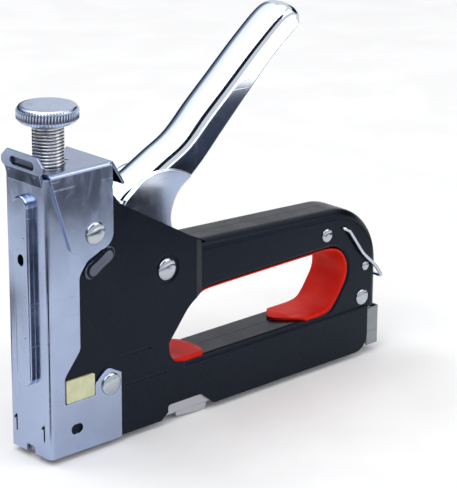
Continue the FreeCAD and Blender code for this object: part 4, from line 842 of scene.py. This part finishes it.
def graded_glow(name, heights, shades):
    """Plain glow whose shade goes by height."""
    tree = Tree(name)
    tree.nodes.remove(tree.shader)
    ramp = tree.node("ValToRGB", Fac=tree.linear(tree.height(), *heights))
    elements = ramp.color_ramp.elements
    elements[0].color = (*shades[0][1], 1.0)
    elements[1].color = (*shades[-1][1], 1.0)
    for at, shade in shades[1:-1]:
        elements.new(at).color = (*shade, 1.0)
    glow = tree.node("Emission", Color=ramp.outputs["Color"])
    tree.feed(tree.nodes["Material Output"].inputs["Surface"], glow.outputs["Emission"])
    return tree.material


def stage_mesh(name, points, faces, material, seen=True):
    mesh = bpy.data.meshes.new(name)
    mesh.from_pydata(points, [], faces)
    piece = bpy.data.objects.new(name, mesh)
    bpy.context.scene.collection.objects.link(piece)
    mesh.materials.append(material)
    if not seen:
        piece.visible_camera = piece.visible_shadow = piece.visible_diffuse = False


def make_floor():
    """Wide pale floor under the lowest point of the tool."""
    half = FLOOR_HALF
    points = [(-half, -half, LOWEST), (half, -half, LOWEST), (half, half, LOWEST), (-half, half, LOWEST)]
    stage_mesh("floor", points, [(0, 1, 2, 3)], flat_material("pale_floor", (0.94, 0.94, 0.945)))


def make_card(name, middle, radii, heights, arc, material, steps=72):
    """Card bent round the tool, or a ring on the floor; only bright metal sees it."""
    points, faces = [], []
    for i in range(steps + 1):
        angle = math.radians(arc[0] + (arc[1] - arc[0]) * i / steps)
        across, along = math.cos(angle), math.sin(angle)
        for radius, height in zip(radii, heights):
            points.append((middle[0] + radius * across, middle[1] + radius * along, height))
        if i < steps:
            a = 2 * i
            faces.append((a, a + 1, a + 3, a + 2))
    stage_mesh(name, points, faces, material, seen=False)


def make_cards():
    for name, middle, radii, heights, colour, arc, glow in CARDS:
        make_card(name, middle, radii, heights, arc, flat_material(name + "_card", colour, glow))
    heights = (LOW, ROOM_TOP)
    make_card("back_card", MIDDLE, (1.5, 1.5), heights, (55.0, 222.0),
              graded_glow("back_card_glow", heights, BACK_SHADES), steps=48)
    make_card("pale_ceiling", MIDDLE, (0.02, 1.5), (ROOM_TOP, ROOM_TOP), (0.0, 360.0),
              flat_material("pale_ceiling_card", WHITE, glow=1.2))


def make_world():
    """Pale room, a little cooler and darker towards the horizon."""
    world = bpy.data.worlds.new("studio")
    bpy.context.scene.world = world
    world.use_nodes = True
    nodes, links = world.node_tree.nodes, world.node_tree.links
    background = nodes["Background"]
    place = nodes.new("ShaderNodeTexCoord").outputs["Generated"]
    split = nodes.new("ShaderNodeSeparateXYZ")
    links.new(place, split.inputs[0])
    ramp = nodes.new("ShaderNodeValToRGB")
    links.new(split.outputs["Z"], ramp.inputs["Fac"])
    ramp.color_ramp.elements[0].color = (0.86, 0.89, 0.94, 1)
    ramp.color_ramp.elements[1].color = (1.0, 1.0, 1.0, 1)
    ramp.color_ramp.elements[1].position = 0.6
    links.new(ramp.outputs["Color"], background.inputs["Color"])
    background.inputs["Strength"].default_value = WORLD_STRENGTH


def add_softbox(name, place, size, power):
    """Square or oblong lamp that faces the tool, in metres and watts."""
    light = bpy.data.lights.new(name, "AREA")
    light.shape = "RECTANGLE"
    light.size, light.size_y = size
    light.energy = power
    lamp = bpy.data.objects.new(name, light)
    lamp.location = place
    lamp.rotation_euler = (Vector(MIDDLE) - Vector(place)).to_track_quat("-Z", "Y").to_euler()
    bpy.context.scene.collection.objects.link(lamp)


def make_camera():
    data = bpy.data.cameras.new("camera")
    data.sensor_fit = "AUTO"
    data.sensor_width = 36.0
    data.lens = CAMERA_LENS
    data.clip_start, data.clip_end = 0.01, 50.0
    camera = bpy.data.objects.new("camera", data)
    look = (CAMERA_TARGET - CAMERA_PLACE).to_track_quat("-Z", "Y").to_matrix().to_4x4()
    camera.matrix_world = (Matrix.Translation(CAMERA_PLACE) @ look
                           @ Matrix.Rotation(CAMERA_ROLL, 4, "Z"))
    bpy.context.scene.collection.objects.link(camera)
    bpy.context.scene.camera = camera


make_floor()
make_world()
make_cards()
add_softbox("key", (-1.0, -0.4, 1.3), (0.9, 0.9), 7.0)
add_softbox("fill", (0.9, -1.1, 0.9), (0.7, 0.7), 3.0)
add_softbox("back", (-0.5, 1.0, 2.1), (0.9, 0.7), 8.0)
make_camera()
bpy.context.scene.view_settings.view_transform = "Standard"
